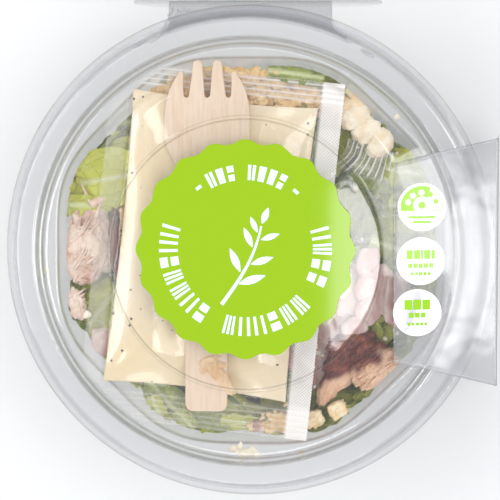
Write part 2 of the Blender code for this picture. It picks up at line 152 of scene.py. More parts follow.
def rounded(points, radii, steps=4):
    """Replace each inner corner of a (radius, height) polyline with a curve."""
    out = [Vector(points[0])]
    for before, corner, after, radius in zip(points, points[1:], points[2:], radii):
        corner = Vector(corner)
        to_before = Vector(before) - corner
        to_after = Vector(after) - corner
        half = to_before.angle(to_after) / 2.0
        reach = min(radius / math.tan(half), 0.48 * to_before.length, 0.48 * to_after.length)
        start = corner + to_before.normalized() * reach
        end = corner + to_after.normalized() * reach
        for i in range(steps + 1):
            t = i / steps
            out.append(start * (1 - t) ** 2 + corner * 2 * t * (1 - t) + end * t ** 2)
    out.append(Vector(points[-1]))
    return out


def offset(points, distance):
    """Move a polyline sideways, to its left as it runs outward, with mitred corners."""
    out = []
    for i, point in enumerate(points):
        into = point - points[i - 1] if i > 0 else points[1] - point
        onward = points[i + 1] - point if i < len(points) - 1 else into
        n_in = Vector((-into.y, into.x)).normalized()
        n_out = Vector((-onward.y, onward.x)).normalized()
        mitre = (n_in + n_out).normalized()
        out.append(point + mitre * (distance / max(0.5, mitre.dot(n_in))))
    out[0].x = points[0].x
    return out


def turned_sheet(line, thickness, steps, rim_from, lines):
    """Spin a sheet's closed outline about Z into a watertight shell that meets the axis.

    lines lists the radii where a bend is painted as a line of shade and reflected food colour, with each
    line's half width.
    """
    outline = offset(line, -thickness / 2) + offset(line, thickness / 2)[::-1]
    bm = bmesh.new()
    bend = bm.verts.layers.float.new("bend")
    rim = bm.verts.layers.float.new("rim")
    verts = [bm.verts.new((p.x, 0.0, p.y)) for p in outline]
    for v in verts:
        # rim: share of the greyer let-through, which is partly painted shade
        v[rim] = smooth_step(rim_from - 2.0 * MM, rim_from, v.co.x)
        # bend: strength of the painted line of shade and reflected food colour at this radius
        v[bend] = max((math.exp(-((v.co.x - at) / half) ** 2) * strength
                       for at, half, strength in lines), default=0.0)
    edges = [bm.edges.new(pair) for pair in zip(verts, verts[1:])]
    bmesh.ops.spin(bm, geom=verts + edges, cent=(0, 0, 0), axis=(0, 0, 1),
                   angle=math.tau, steps=steps, use_merge=True)
    bmesh.ops.remove_doubles(bm, verts=bm.verts, dist=1e-6)
    return bm


def merge(bm, part):
    """Add a finished part to a bmesh."""
    mesh = bpy.data.meshes.new("part")
    part.to_mesh(mesh)
    part.free()
    bm.from_mesh(mesh)
    bpy.data.meshes.remove(mesh)


def paint(bm, name, value):
    """Give every point of a bmesh an attribute, worked out by a function of its place."""
    layer = bm.verts.layers.float.new(name)
    for v in bm.verts:
        v[layer] = value(v.co)


def raise_outline(bm, outline, low, high):
    """Add a flat block between two heights from a plan outline."""
    base = bm.faces.new([bm.verts.new((x, y, low)) for x, y in outline])
    grown = bmesh.ops.extrude_face_region(bm, geom=[base])
    lifted = [g for g in grown["geom"] if isinstance(g, bmesh.types.BMVert)]
    bmesh.ops.translate(bm, verts=lifted, vec=(0, 0, high - low))


def prism(outline, low, high, bevel=0.0):
    """A flat piece between two heights from a plan outline, with softened edges."""
    bm = bmesh.new()
    raise_outline(bm, outline, low, high)
    bmesh.ops.recalc_face_normals(bm, faces=bm.faces)
    if bevel:
        rims = [e for e in bm.edges if abs(e.verts[0].co.z - e.verts[1].co.z) < 1e-7]
        bmesh.ops.bevel(bm, geom=rims, offset=bevel, offset_type="OFFSET", affect="EDGES",
                        segments=2, profile=0.5, material=-1, clamp_overlap=True)
    return bm


def wall_limit(point, clear):
    """Radius that food may reach at a point's height, inside the fluted wall."""
    pack = bpy.context.scene.salad_pack
    z = min(point.z, 46.5 * MM)
    cone = pack.base_radius + (pack.wall_top - pack.base_radius) * z / pack.ledge_z
    return cone + flute(cone, z, math.atan2(point.y, point.x)) - pack.sheet - clear


def hold_inside(point, clear=0.6 * MM):
    """Pull a point of the food in until it is clear of the bowl's wall and base."""
    limit = wall_limit(point, clear)
    radius = math.hypot(point.x, point.y)
    if radius > limit:
        point.x *= limit / radius
        point.y *= limit / radius
    point.z = max(point.z, 1.2 * MM)


# ---------------------------------------------------------------- materials

class Shade:
    """A node material being put together."""

    def __init__(self, name):
        self.material = bpy.data.materials.new(name)
        self.material.use_nodes = True
        self.tree = self.material.node_tree
        self.tree.nodes.clear()
        self.out = self.tree.nodes.new("ShaderNodeOutputMaterial")

    def node(self, kind, settings=None, **inputs):
        """Add a node; a key such as i0 names an input by its place, others by their name."""
        made = self.tree.nodes.new("ShaderNode" + kind)
        for key, value in (settings or {}).items():
            setattr(made, key, value)
        for key, value in inputs.items():
            place = int(key[1:]) if key[0] == "i" and key[1:].isdigit() else key.replace("_", " ")
            if isinstance(value, bpy.types.NodeSocket):
                self.tree.links.new(value, made.inputs[place])
            else:
                made.inputs[place].default_value = value
        return made

    def math(self, operation, a, b=0.0):
        return self.node("Math", {"operation": operation}, i0=a, i1=b).outputs[0]

    def place(self, scale=(1, 1, 1), turn=(0, 0, 0)):
        """The piece's own Object coordinates, stretched and turned."""
        coords = self.node("TexCoord").outputs["Object"]
        return self.node("Mapping", Vector=coords, Scale=scale, Rotation=turn).outputs[0]

    def noise(self, scale, vector=None, detail=3.0, rough=0.5):
        vector = vector or self.place()
        made = self.node("TexNoise", Vector=vector, Scale=scale, Detail=detail, Roughness=rough)
        return made.outputs["Fac"]

    def ramp(self, fac, stops):
        made = self.node("ValToRGB", Fac=fac)
        spots = made.color_ramp.elements
        while len(spots) < len(stops):
            spots.new(0.5)
        for spot, (position, colour) in zip(spots, stops):
            spot.position = position
            spot.color = (*colour, 1.0)
        return made.outputs["Color"]

    def mix(self, fac, a, b, blend="MIX"):
        """Mix two colours; plain triples are taken as colours."""
        a = (*a, 1.0) if isinstance(a, tuple) else a
        b = (*b, 1.0) if isinstance(b, tuple) else b
        made = self.node("Mix", {"data_type": "RGBA", "blend_type": blend}, i0=fac, i6=a, i7=b)
        return made.outputs[2]

    def range(self, value, low, high, to_low=0.0, to_high=1.0):
        return self.node("MapRange", Value=value, From_Min=low, From_Max=high,
                         To_Min=to_low, To_Max=to_high).outputs[0]

    def bump(self, height, distance, strength=1.0, normal=None):
        made = self.node("Bump", Height=height, Distance=distance, Strength=strength)
        if normal is not None:
            self.tree.links.new(normal, made.inputs["Normal"])
        return made.outputs[0]

    def done(self, surface):
        self.tree.links.new(surface, self.out.inputs["Surface"])
        return self.material

    def principled(self, colour, roughness, normal=None, **more):
        inputs = dict(Base_Color=colour, Roughness=roughness, **more)
        if isinstance(colour, tuple):
            inputs["Base_Color"] = (*colour, 1.0)
        if normal is not None:
            inputs["Normal"] = normal
        return self.done(self.node("BsdfPrincipled", **inputs).outputs[0])

    def clear(self, tint, edge, rough=0.05, normal=None, veil=None, veil_colour=(0.9, 0.9, 0.92)):
        """Thin clear sheet: lets light straight through, mirrors more as it is seen edge-on.

        veil is a factor, or a socket, by which the sheet is clouded with a pale matte tone.
        """
        facing = self.node("LayerWeight", Blend=0.5).outputs["Facing"]
        gloss = self.math("MULTIPLY_ADD", self.math("POWER", facing, 4.0), 0.85)
        gloss.node.inputs[2].default_value = 0.045
        tone = self.mix(self.math("POWER", facing, 2.5), tint, edge)
        through = self.node("BsdfTransparent", Color=tone).outputs[0]
        shine = self.node("BsdfGlossy", Roughness=rough, Color=(1, 1, 1, 1))
        if normal is not None:
            self.tree.links.new(normal, shine.inputs["Normal"])
        body = through
        if veil is not None:
            matte = self.node("BsdfDiffuse", Color=(*veil_colour, 1.0)).outputs[0]
            body = self.node("MixShader", i0=veil, i1=through, i2=matte).outputs[0]
        return self.done(self.node("MixShader", i0=gloss, i1=body, i2=shine.outputs[0]).outputs[0])


def plastic_material(name, cloud=0.0):
    """Clear sheet whose bends show as thin painted lines and whose rim is greyer, partly as painted
    shade.

    The bend attribute marks the sheet's corners, where lines of painted shade stand for the light that
    the bends refract and reflect. The rim attribute marks its outer part, whose greyer let-through is
    partly painted shade. The fold attribute marks the clouded hinge, and on its beads that grey is
    painted shade. The lines take their colour from the food beside them as a painted reflection, so it
    changes round the pack.
    """
    s = Shade(name)
    bend = s.node("Attribute", {"attribute_name": "bend"}).outputs["Fac"]
    rim = s.node("Attribute", {"attribute_name": "rim"}).outputs["Fac"]
    where = s.node("SeparateXYZ", Vector=s.node("TexCoord").outputs["Object"])
    angle = s.math("ARCTAN2", where.outputs[1], where.outputs[0])
    around = s.range(angle, -math.pi, math.pi)
    # painted reflection: the colour of the food round the pack, by angle, for the bend lines
    painted_food_reflection = s.ramp(around, [(0.0, (0.30, 0.31, 0.16)), (0.17, (0.36, 0.40, 0.22)),
                          (0.27, (0.46, 0.36, 0.31)), (0.38, (0.44, 0.34, 0.33)),
                          (0.52, (0.62, 0.63, 0.52)), (0.63, (0.46, 0.48, 0.28)),
                          (0.74, (0.50, 0.36, 0.18)), (0.86, (0.46, 0.38, 0.22)),
                          (1.0, (0.30, 0.31, 0.16))])
    painted_food_reflection = s.mix(s.range(s.noise(55.0, detail=2.0), 0.35, 0.65, 0.0, 0.6), painted_food_reflection, (0.62, 0.62, 0.62))
    tint = tuple(bpy.context.scene.salad_pack.tint)
    # greyer let-through over the rim, partly painted shade
    body = s.mix(rim, tint, tuple(bpy.context.scene.salad_pack.rim_shade_tint))
    # painted lines of shade and reflected food colour along the bends
    body = s.mix(s.math("MULTIPLY", bend, 0.62), body, painted_food_reflection)
    fold = s.node("Attribute", {"attribute_name": "fold"}).outputs["Fac"]
    # greyer hinge; on the beads this grey is painted shade
    body = s.mix(fold, body, (0.80, 0.80, 0.81))
    ripple = s.bump(s.noise(90.0, detail=2.0), 0.0002, 0.25)
    return s.clear(body, (0.74, 0.75, 0.76), 0.04, normal=ripple, veil=cloud or None)


def label_film_material():
    """The strap label's thin clear film."""
    s = Shade("strap_film")
    ripple = s.bump(s.noise(60.0, detail=2.0), 0.0004, 0.35)
    veil = s.range(s.noise(25.0, detail=2.0), 0.3, 0.7, 0.16, 0.24)
    across = s.node("SeparateXYZ", Vector=s.node("TexCoord").outputs["Object"]).outputs[0]
    tint = s.mix(s.range(across, 76 * MM, 84 * MM), (0.955, 0.955, 0.96), (0.81, 0.81, 0.82))
    return s.clear(tint, (0.42, 0.42, 0.43), 0.10, normal=ripple, veil=veil,
                   veil_colour=(0.62, 0.62, 0.63))


def bag_film_material(name, gloss_rough=0.07):
    """Clear bag film; its seal attribute clouds the welded margins with a fine waffle."""
    s = Shade(name)
    seal = s.node("Attribute", {"attribute_name": "seal"}).outputs["Fac"]
    weave = s.node("UVMap", {"uv_map": "film"}).outputs[0]
    across = s.node("SeparateXYZ", Vector=weave)
    pitch = math.tau / (1.25 * MM)
    cells = [s.math("SINE", s.math("MULTIPLY", across.outputs[axis], pitch)) for axis in (0, 1)]
    waffle = s.math("MULTIPLY", cells[0], cells[1])
    crinkle = s.noise(160.0, detail=4.0, rough=0.6)
    height = s.math("ADD", s.math("MULTIPLY", waffle, seal), s.math("MULTIPLY", crinkle, 0.8))
    normal = s.bump(height, 0.00020, 0.6)
    dots = s.range(waffle, -0.4, 0.5, 0.67, 1.03)
    crimp = s.node("Attribute", {"attribute_name": "crimp"}).outputs["Fac"]
    rib = s.math("SINE", s.math("MULTIPLY", across.outputs[1], math.tau / (2.1 * MM)))
    ribs = s.math("MULTIPLY", s.range(rib, 0.1, 0.9, 0.12, 0.50), crimp)
    cloth = s.range(s.noise(70.0, detail=3.0), 0.35, 0.7, 0.80, 1.08)
    veil = s.math("MULTIPLY", s.math("ADD", s.math("MULTIPLY", dots, seal), ribs), cloth)
    veil = s.math("ADD", veil, s.math("ADD", s.math("MULTIPLY", crimp, 0.10), 0.02))
    return s.clear((0.985, 0.985, 0.985), (0.80, 0.80, 0.81), gloss_rough, normal=normal, veil=veil,
                   veil_colour=(0.93, 0.89, 0.85))


def dressing_material():
    """Cream dressing with pepper."""
    s = Shade("dressing")
    cream = tuple(bpy.context.scene.salad_food.cream)
    cloud = s.range(s.noise(22.0, detail=2.0), 0.35, 0.65)
    base = s.mix(cloud, cream, (0.91, 0.77, 0.55))
    where = s.place()
    cell = s.node("TexVoronoi", {"feature": "F1"}, Vector=where, Scale=250.0, Randomness=1.0)
    pick = s.node("SeparateColor", Color=cell.outputs["Color"]).outputs[0]
    near = s.math("LESS_THAN", cell.outputs["Distance"],
                  s.math("MULTIPLY", s.noise(500.0, detail=1.0), 0.26))
    speck = s.math("MULTIPLY", near, s.math("GREATER_THAN", pick, 0.55))
    soft = s.math("MULTIPLY", s.range(s.noise(260.0, detail=3.0), 0.56, 0.74), 0.16)
    colour = s.mix(soft, base, (0.62, 0.42, 0.20))
    colour = s.mix(speck, colour, (0.06, 0.035, 0.02))
    normal = s.bump(s.noise(45.0, detail=2.0), 0.0006, 0.35)
    return s.principled(colour, 0.30, normal, Subsurface_Weight=0.12,
                        Subsurface_Radius=(0.003, 0.002, 0.001), Coat_Weight=0.35,
                        Coat_Roughness=0.08)


def birch_material():
    """Pressed birch with long grain and pores."""
    s = Shade("birch")
    along = s.place(scale=(1.0, 0.06, 1.0))
    grain = s.noise(900.0, along, detail=5.0, rough=0.65)
    broad = s.noise(120.0, along, detail=2.0)
    colour = s.ramp(grain, [(0.28, (0.70, 0.49, 0.33)), (0.5, (0.78, 0.60, 0.44)),
                            (0.75, (0.83, 0.68, 0.53))])
    colour = s.mix(s.range(broad, 0.35, 0.7, 0.0, 0.35), colour, (0.82, 0.66, 0.52))
    pores = s.range(s.noise(2600.0, s.place(scale=(1.0, 0.18, 1.0)), detail=2.0), 0.66, 0.80)
    colour = s.mix(s.math("MULTIPLY", pores, 0.45), colour, (0.60, 0.36, 0.22))
    normal = s.bump(grain, 0.00008, 0.6)
    return s.principled(colour, 0.52, normal)


def paper_material(name, colour, coat=1.0):
    """Printed label face with a clear gloss over it."""
    s = Shade(name)
    fibre = s.range(s.noise(700.0, detail=4.0), 0.3, 0.7, 0.0, 0.10)
    shaded = s.mix(fibre, tuple(colour), tuple(min(1.0, c * 1.12) for c in colour))
    normal = s.bump(s.noise(420.0, detail=3.0), 0.00003, 0.5)
    return s.principled(shaded, 0.5, normal, Coat_Weight=coat, Coat_Roughness=0.05,
                        Specular_IOR_Level=0.0)


def leaf_material():
    """Lettuce: pale ribs and a net of veins between darker cells, by the leaf's own map."""
    food = bpy.context.scene.salad_food
    s = Shade("leaf")
    uv = s.node("UVMap", {"uv_map": "leaf"}).outputs[0]
    tone = s.node("Attribute", {"attribute_name": "tone"}).outputs["Fac"]
    stretched = s.node("Mapping", Vector=uv, Scale=(1.0, 0.8, 1.0)).outputs[0]
    warp = s.node("TexNoise", Vector=stretched, Scale=260.0, Detail=2.0).outputs["Color"]
    bent = s.node("Mix", {"data_type": "VECTOR"}, i0=0.004, i4=stretched, i5=warp).outputs[1]
    net = s.node("TexVoronoi", {"feature": "DISTANCE_TO_EDGE"}, Vector=bent, Scale=230.0)
    fine = s.node("TexVoronoi", {"feature": "DISTANCE_TO_EDGE"}, Vector=bent, Scale=620.0)
    vein = s.range(net.outputs["Distance"], 0.0, 0.11, 1.0, 0.0)
    small = s.range(fine.outputs["Distance"], 0.0, 0.10, 1.0, 0.0)
    split = s.node("SeparateXYZ", Vector=uv)
    rib = s.range(s.math("ABSOLUTE", split.outputs[0]), 0.0002, 0.0015, 0.9, 0.0)
    light = tuple(food.leaf_light)
    dark = tuple(food.leaf_dark)
    flesh = s.mix(tone, dark, light)
    patch = s.range(s.noise(140.0, detail=3.0), 0.35, 0.65, 0.0, 0.5)
    flesh = s.mix(patch, flesh, s.mix(0.5, flesh, (0.52, 0.58, 0.12)))
    veins = s.math("ADD", s.math("MULTIPLY", vein, 0.42), s.math("MULTIPLY", small, 0.16))
    colour = s.mix(veins, flesh, (0.58, 0.61, 0.18))
    colour = s.mix(rib, colour, (0.66, 0.70, 0.38))
    raised = s.math("ADD", s.math("MULTIPLY", vein, -0.8), s.math("MULTIPLY", rib, 1.5))
    normal = s.bump(raised, 0.0005, 0.8, s.bump(s.noise(330.0, detail=2.0), 0.0004, 0.5))
    return s.principled(colour, 0.33, normal, Subsurface_Weight=0.15,
                        Subsurface_Radius=(0.002, 0.003, 0.001))


def core_painted_shade_material():
    """The inside of the leaf bed in leaf colours, darker towards each cell's edge as painted shade among
    the leaves.
    """
    s = Shade("salad_heart")
    food = bpy.context.scene.salad_food
    cells = s.node("TexVoronoi", {"feature": "F1"}, Vector=s.place(), Scale=120.0)
    pick = s.node("SeparateColor", Color=cells.outputs["Color"]).outputs[0]
    colour = s.ramp(pick, [(0.0, tuple(food.leaf_dark)), (0.55, (0.20, 0.31, 0.06)),
                           (1.0, (0.42, 0.50, 0.16))])
    # painted shade: each cell darkens towards its edge, for the crevices among the leaves
    depth = s.range(cells.outputs["Distance"], 0.0, 0.7, 1.0, 0.35)
    colour = s.mix(1.0, colour, s.node("CombineColor", i0=depth, i1=depth, i2=depth).outputs[0],
                   "MULTIPLY")
    normal = s.bump(cells.outputs["Distance"], 0.002, 0.8)
    return s.principled(colour, 0.5, normal)


def chicken_material(name, browned, warm=None):
    """Torn roast meat: pale fibres, pink shadows, and a browned side by its own attribute."""
    s = Shade(name)
    fibre_place = s.place(scale=(1.0, 0.22, 1.0), turn=(0.0, 0.0, 0.5))
    fibre = s.noise(620.0, fibre_place, detail=5.0, rough=0.6)
    tone = s.noise(120.0, detail=3.0)
    colour = s.ramp(tone, [(0.30, (0.52, 0.27, 0.18)), (0.42, (0.74, 0.52, 0.40)),
                           (0.60, (0.86, 0.69, 0.56))])
    colour = s.mix(s.range(fibre, 0.38, 0.75, 0.0, 0.6), colour, (0.88, 0.72, 0.60))
    if warm:
        colour = s.mix(0.55, colour, warm)
    skin = s.node("Attribute", {"attribute_name": "tone"}).outputs["Fac"]
    roast = s.ramp(s.noise(260.0, detail=4.0), [(0.3, (0.075, 0.008, 0.003)),
                                               (0.52, (0.18, 0.024, 0.008)),
                                               (0.8, (0.44, 0.15, 0.05))])
    colour = s.mix(s.math("MULTIPLY", skin, browned), colour, roast)
    normal = s.bump(fibre, 0.0009, 0.9, s.bump(tone, 0.0008, 0.5))
    return s.principled(colour, 0.42, normal, Subsurface_Weight=0.12,
                        Subsurface_Radius=(0.003, 0.0015, 0.001))


def bacon_material(name="bacon", pale=0.0):
    s = Shade(name)
    bands = s.node("TexWave", {"wave_type": "BANDS", "bands_direction": "X"}, Vector=s.place(),
                   Scale=38.0, Distortion=9.0, Detail=3.0, Detail_Scale=1.6).outputs["Fac"]
    colour = s.ramp(bands, [(0.1, (0.46, 0.22, 0.18)), (0.45, (0.62, 0.38, 0.33)),
                            (0.8, (0.72, 0.52, 0.45)), (0.95, (0.80, 0.66, 0.58))])
    mottle = s.range(s.noise(300.0, detail=3.0), 0.4, 0.7, 0.0, 0.5)
    colour = s.mix(mottle, colour, (0.64, 0.42, 0.37))
    colour = s.mix(pale, colour, (0.76, 0.54, 0.51))
    normal = s.bump(s.noise(420.0, detail=3.0), 0.0006, 0.7)
    return s.principled(colour, 0.30, normal, Subsurface_Weight=0.15,
                        Subsurface_Radius=(0.003, 0.0012, 0.001))


def bread_material(name, pale, toast):
    s = Shade(name)
    tone = s.noise(240.0, detail=4.0)
    colour = s.ramp(tone, [(0.3, toast), (0.6, pale), (0.85, (0.96, 0.84, 0.60))])
    pits = s.node("TexVoronoi", {"feature": "F1"}, Vector=s.place(), Scale=900.0)
    hollow = s.range(pits.outputs["Distance"], 0.0, 0.45, 0.0, 1.0)
    # painted shade: the pits are pulled towards the toast colour, most at their middles
    colour = s.mix(s.range(hollow, 0.0, 0.5, 0.5, 0.0), colour, toast)
    normal = s.bump(hollow, 0.0003, 0.7, s.bump(tone, 0.0006, 0.5))
    return s.principled(colour, 0.8, normal)


def cheese_material():
    """Pale grated cheese."""
    s = Shade("cheese")
    tone = s.noise(500.0, detail=3.0)
    colour = s.ramp(tone, [(0.3, (0.90, 0.76, 0.52)), (0.55, (0.96, 0.89, 0.72)),
                          (0.8, (0.99, 0.96, 0.88))])
    normal = s.bump(tone, 0.0003, 0.8)
    return s.principled(colour, 0.5, normal)


# ---------------------------------------------------------------- bowl and lid

def flute(radius, height, angle):
    """How far the fluted wall stands out of the plain cone at a place."""
    pack = bpy.context.scene.salad_pack
    grows = smooth_step(6 * MM, pack.ledge_z, height)
    fades = 1.0 - smooth_step(77.5 * MM, 81.5 * MM, radius)
    return -pack.flute_depth * grows * fades * math.cos(pack.lobes * angle)


RIM_TOP_Z = 56.0 * MM
FLANGE_Z = 49.0 * MM
BADGE_RADIUS = 9.1 * MM
STRAP_GAP = 0.45 * MM            # the strap film's height over the lid
CLOUDED_NECK, PAINTED_BEAD_SHADE, CLOUDED_TAB = 0.9, 0.5, 0.45   # how grey each hinge part is let through: the neck and tab are clouded, and on the beads, lugs and neck edge strokes the grey is painted shade that outlines them
NEST = 0.35 * MM


def bowl_line(pack):
    """Centre line of the bowl's sheet: base, wall, ledge, step, rim, skirt, flange."""
    points = [(0, pack.sheet / 2), (pack.base_radius, pack.sheet / 2),
              (pack.wall_top, pack.ledge_z), (82.3 * MM, pack.ledge_z), (83.2 * MM, RIM_TOP_Z),
              (89.6 * MM, RIM_TOP_Z), (91.8 * MM, FLANGE_Z), (pack.rim_radius, FLANGE_Z)]
    return rounded(points, [v * MM for v in (5.0, 1.6, 0.8, 1.0, 1.6, 0.9)])


def lid_line(pack):
    """Centre line of the lid's sheet: panel, ring step, dome, groove, rim, skirt, flange."""
    rim = offset([p for p in bowl_line(pack) if p.x > 84.0 * MM], pack.sheet + NEST)
    groove_z = 53.6 * MM
    rim_z = RIM_TOP_Z + pack.sheet + NEST
    ring = pack.ring_radius
    points = [(0, pack.panel_z), (ring - 0.7 * MM, pack.panel_z), (ring + 0.5 * MM, 64.3 * MM),
              (67.0 * MM, 61.3 * MM), (78.8 * MM, 57.0 * MM), (80.0 * MM, groove_z),
              (81.5 * MM, groove_z), (82.4 * MM, rim_z), (86.0 * MM, rim_z)]
    inner = rounded(points, [v * MM for v in (0.5, 0.6, 8.0, 1.2, 0.5, 0.5, 1.0)])
    return inner[:-1] + [p for p in rim if p.x > 86.0 * MM]


def subdivided(line, longest):
    """Add points to the long straight runs of a line."""
    out = [line[0]]
    for a, b in zip(line, line[1:]):
        cuts = max(1, math.ceil((b - a).length / longest))
        out += [a.lerp(b, k / cuts) for k in range(1, cuts + 1)]
    return out


class SALAD_OT_bowl(bpy.types.Operator):
    """Form the clear bowl with its fluted wall, ledge and rim"""
    bl_idname = "salad.bowl"
    bl_label = "Bowl"

    def execute(self, context):
        pack = context.scene.salad_pack
        # radius, half width and strength of each painted bend line
        lines = ((pack.wall_top, 0.45 * MM, 1.0), (82.7 * MM, 0.25 * MM, 0.55),
                 (91.2 * MM, 0.3 * MM, 0.5))
        bm = turned_sheet(subdivided(bowl_line(pack), 0.8 * MM), pack.sheet, pack.segments,
                          pack.wall_top, lines)
        for v in bm.verts:
            radius = math.hypot(v.co.x, v.co.y)
            if radius > pack.base_radius:
                grow = 1.0 + flute(radius, v.co.z, math.atan2(v.co.y, v.co.x)) / radius
                v.co.x *= grow
                v.co.y *= grow
        finish_piece("bowl_sheet", bm, plastic_material("bowl_plastic", 0.06), ["bowl"])
        return {"FINISHED"}


NECK_CENTRE = 1.2 * MM
NECK_HALF = 31.0 * MM
NECK_END_Y = 96.3 * MM


def neck_outline():
    """Plan of the web between rim and tear strip: an arc inside the rim and flared sides."""
    inner = 86.2 * MM
    flare = 6.0 * MM
    spread = math.asin((NECK_HALF + 6.5 * MM) / inner)
    angles = [math.pi / 2 - spread + 2 * spread * i / 40 for i in range(41)]
    arc = [(inner * math.cos(a), inner * math.sin(a)) for a in angles]
    left, right = [], []
    for i in range(13):
        turn = math.radians(7.5 * i)
        side = NECK_HALF + flare * (1 - math.sin(turn))
        along = 83.0 * MM + flare * (1 - math.cos(turn))
        left.append((NECK_CENTRE - side, along))
        right.append((NECK_CENTRE + side, along))
    top = [(NECK_CENTRE - NECK_HALF, NECK_END_Y), (NECK_CENTRE + NECK_HALF, NECK_END_Y)]
    return arc + left + top + right[::-1]


def bead(bm, centre, radii, turn):
    """One small smooth bump in a bmesh."""
    place = Matrix.Translation(centre) @ Matrix.Rotation(turn, 4, "Z") @ Matrix.Diagonal((*radii, 1))
    bmesh.ops.create_uvsphere(bm, u_segments=12, v_segments=8, radius=1.0, matrix=place)


class SALAD_OT_lid(bpy.types.Operator):
    """Form the clear lid with its dome, ring step, groove, rim and hinge neck"""
    bl_idname = "salad.lid"
    bl_label = "Lid"

    def execute(self, context):
        pack = context.scene.salad_pack
        plastic = plastic_material("lid_plastic")
        # radius, half width and strength of each painted bend line
        lines = ((pack.ring_radius - 0.5 * MM, 0.22 * MM, 0.8),
                 (pack.ring_radius + 0.9 * MM, 0.2 * MM, 0.6), (80.2 * MM, 0.4 * MM, 0.8),
                 (91.0 * MM, 0.25 * MM, 0.6), (pack.rim_radius, 0.35 * MM, 0.45))
        bm = turned_sheet(subdivided(lid_line(pack), 0.8 * MM), pack.sheet, pack.segments,
                          82.0 * MM, lines)
        lid = finish_piece("lid_sheet", bm, plastic, ["lid"])
        middle = RIM_TOP_Z + pack.sheet + NEST
        guide = prism(neck_outline(), middle - 0.22 * MM, middle + 0.22 * MM)
        mesh = bpy.data.meshes.new("neck")
        guide.to_mesh(mesh)
        guide.free()
        neck = bpy.data.objects.new("neck", mesh)
        context.scene.collection.objects.link(neck)
        join = lid.modifiers.new("neck", "BOOLEAN")
        join.operation = "UNION"
        join.solver = "EXACT"
        join.object = neck
        joined = bpy.data.meshes.new_from_object(lid.evaluated_get(context.evaluated_depsgraph_get()))
        lid.modifiers.clear()
        lid.data = joined
        bpy.data.objects.remove(neck)
        fold = joined.attributes.new("fold", "FLOAT", "POINT")
        for v in joined.vertices:
            on_neck = abs(v.co.z - middle) < 0.24 * MM and v.co.y > 80 * MM
            fold.data[v.index].value = CLOUDED_NECK if on_neck else 0.0
        lid.data.shade_smooth()
        lid.data.set_sharp_from_angle(angle=math.radians(40))
        self.add_beads(pack, plastic)
        return {"FINISHED"}

    def add_beads(self, pack, plastic):
        """Grip dimples on the neck's left side and the rim's two locking lugs."""
        rng = random.Random(5)
        top = RIM_TOP_Z + pack.sheet + NEST + 0.25 * MM
        bm = bmesh.new()
        rows = 9
        for row in range(rows):
            t = row / (rows - 1)
            y = lerp(92.8, 83.6, t) * MM
            count = max(1, round(lerp(5, 1, t)))
            left = lerp(-28.6, -33.2, t) * MM
            for k in range(count):
                x = left + k * 2.1 * MM + rng.uniform(-0.35, 0.35) * MM
                size = rng.uniform(0.42, 0.72) * MM
                spot = (x, y + rng.uniform(-0.3, 0.3) * MM, top)
                bead(bm, spot, (size, size * 1.3, 0.3 * MM), rng.uniform(-0.5, 0.5))
        for side in (-1, 1):
            run = [(NECK_CENTRE + side * (NECK_HALF + w) * 1.0, y * MM)
                   for w, y in ((0.0, 95.6), (0.0, 92.0), (0.3 * MM, 89.0), (1.4 * MM, 86.0),
                                (3.0 * MM, 83.6), (5.4 * MM, 81.4), (7.4 * MM, 80.2))]
            stroke(bm, run, [0.5 * MM] * len(run), top - 0.02 * MM, top + 0.3 * MM)
        for angle, radius in ((117.6, 90.1), (59.0, 89.0)):
            a = math.radians(angle)
            spot = (radius * math.cos(a) * MM, radius * math.sin(a) * MM, 56.6 * MM)
            bead(bm, spot, (0.9 * MM, 3.2 * MM, 1.0 * MM), a)
        # painted shade: the dimples, neck edge strokes and lugs are greyed so that they show
        paint(bm, "fold", lambda p: PAINTED_BEAD_SHADE)
        finish_piece("lid_beads", bm, plastic)


class SALAD_OT_tear_strip(bpy.types.Operator):
    """Hang the tear strip, a long tab with round ends, from the lid's neck"""
    bl_idname = "salad.tear_strip"
    bl_label = "Tear strip"

    def execute(self, context):
        pack = context.scene.salad_pack
        low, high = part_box("tear_strip")
        half_length = (high.x - low.x) / 2
        radius = 10.5 * MM
        outline = []
        for side in (1, -1):
            for i in range(25):
                turn = side * math.pi / 2 - math.pi * i / 24
                outline.append((side * (half_length - radius) + radius * math.cos(turn),
                                radius * math.sin(turn)))
        bm = prism(outline, 0.0, pack.sheet, bevel=0.12 * MM)
        lean = math.radians(90.0 - 6.3)
        drop = radius * math.sin(lean)
        place = Matrix.Translation(((low.x + high.x) / 2, high.y - radius * math.cos(lean),
                                    high.z - drop))
        bmesh.ops.transform(bm, matrix=place @ Matrix.Rotation(lean, 4, "X"), verts=bm.verts)
        paint(bm, "fold", lambda p: CLOUDED_TAB)
        finish_piece("tear_tab", bm, plastic_material("tab_plastic"),
                     ["tear_strip"])
        return {"FINISHED"}


# ---------------------------------------------------------------- labels

def round_label_outline(radius, waves, depth, centre, steps=10):
    out = []
    for i in range(waves * steps):
        angle = math.tau * i / (waves * steps)
        r = radius + depth * math.cos(waves * angle)
        out.append((centre[0] + r * math.cos(angle), centre[1] + r * math.sin(angle)))
    return out


def stroke(bm, points, widths, low, high):
    """A flat printed stroke along a run of points, with round ends, added to a bmesh."""
    left, right = [], []
    for i, point in enumerate(points):
        before = points[max(0, i - 1)]
        after = points[min(len(points) - 1, i + 1)]
        run = (Vector(after) - Vector(before)).normalized()
        side = Vector((-run.y, run.x)) * widths[i] / 2
        left.append(Vector(point) + side)
        right.append(Vector(point) - side)
    raise_outline(bm, left + right[::-1], low, high)


def arc_points(centre, radius, start_deg, end_deg, count):
    """Plan points along an arc, both ends included."""
    out = []
    for i in range(count):
        a = math.radians(lerp(start_deg, end_deg, i / (count - 1)))
        out.append((centre[0] + radius * math.cos(a), centre[1] + radius * math.sin(a)))
    return out


def disc(bm, centre, radius, low, high, count=64):
    """Add a round block between two heights."""
    outline = [(centre[0] + radius * math.cos(math.tau * i / count),
                centre[1] + radius * math.sin(math.tau * i / count)) for i in range(count)]
    raise_outline(bm, outline, low, high)


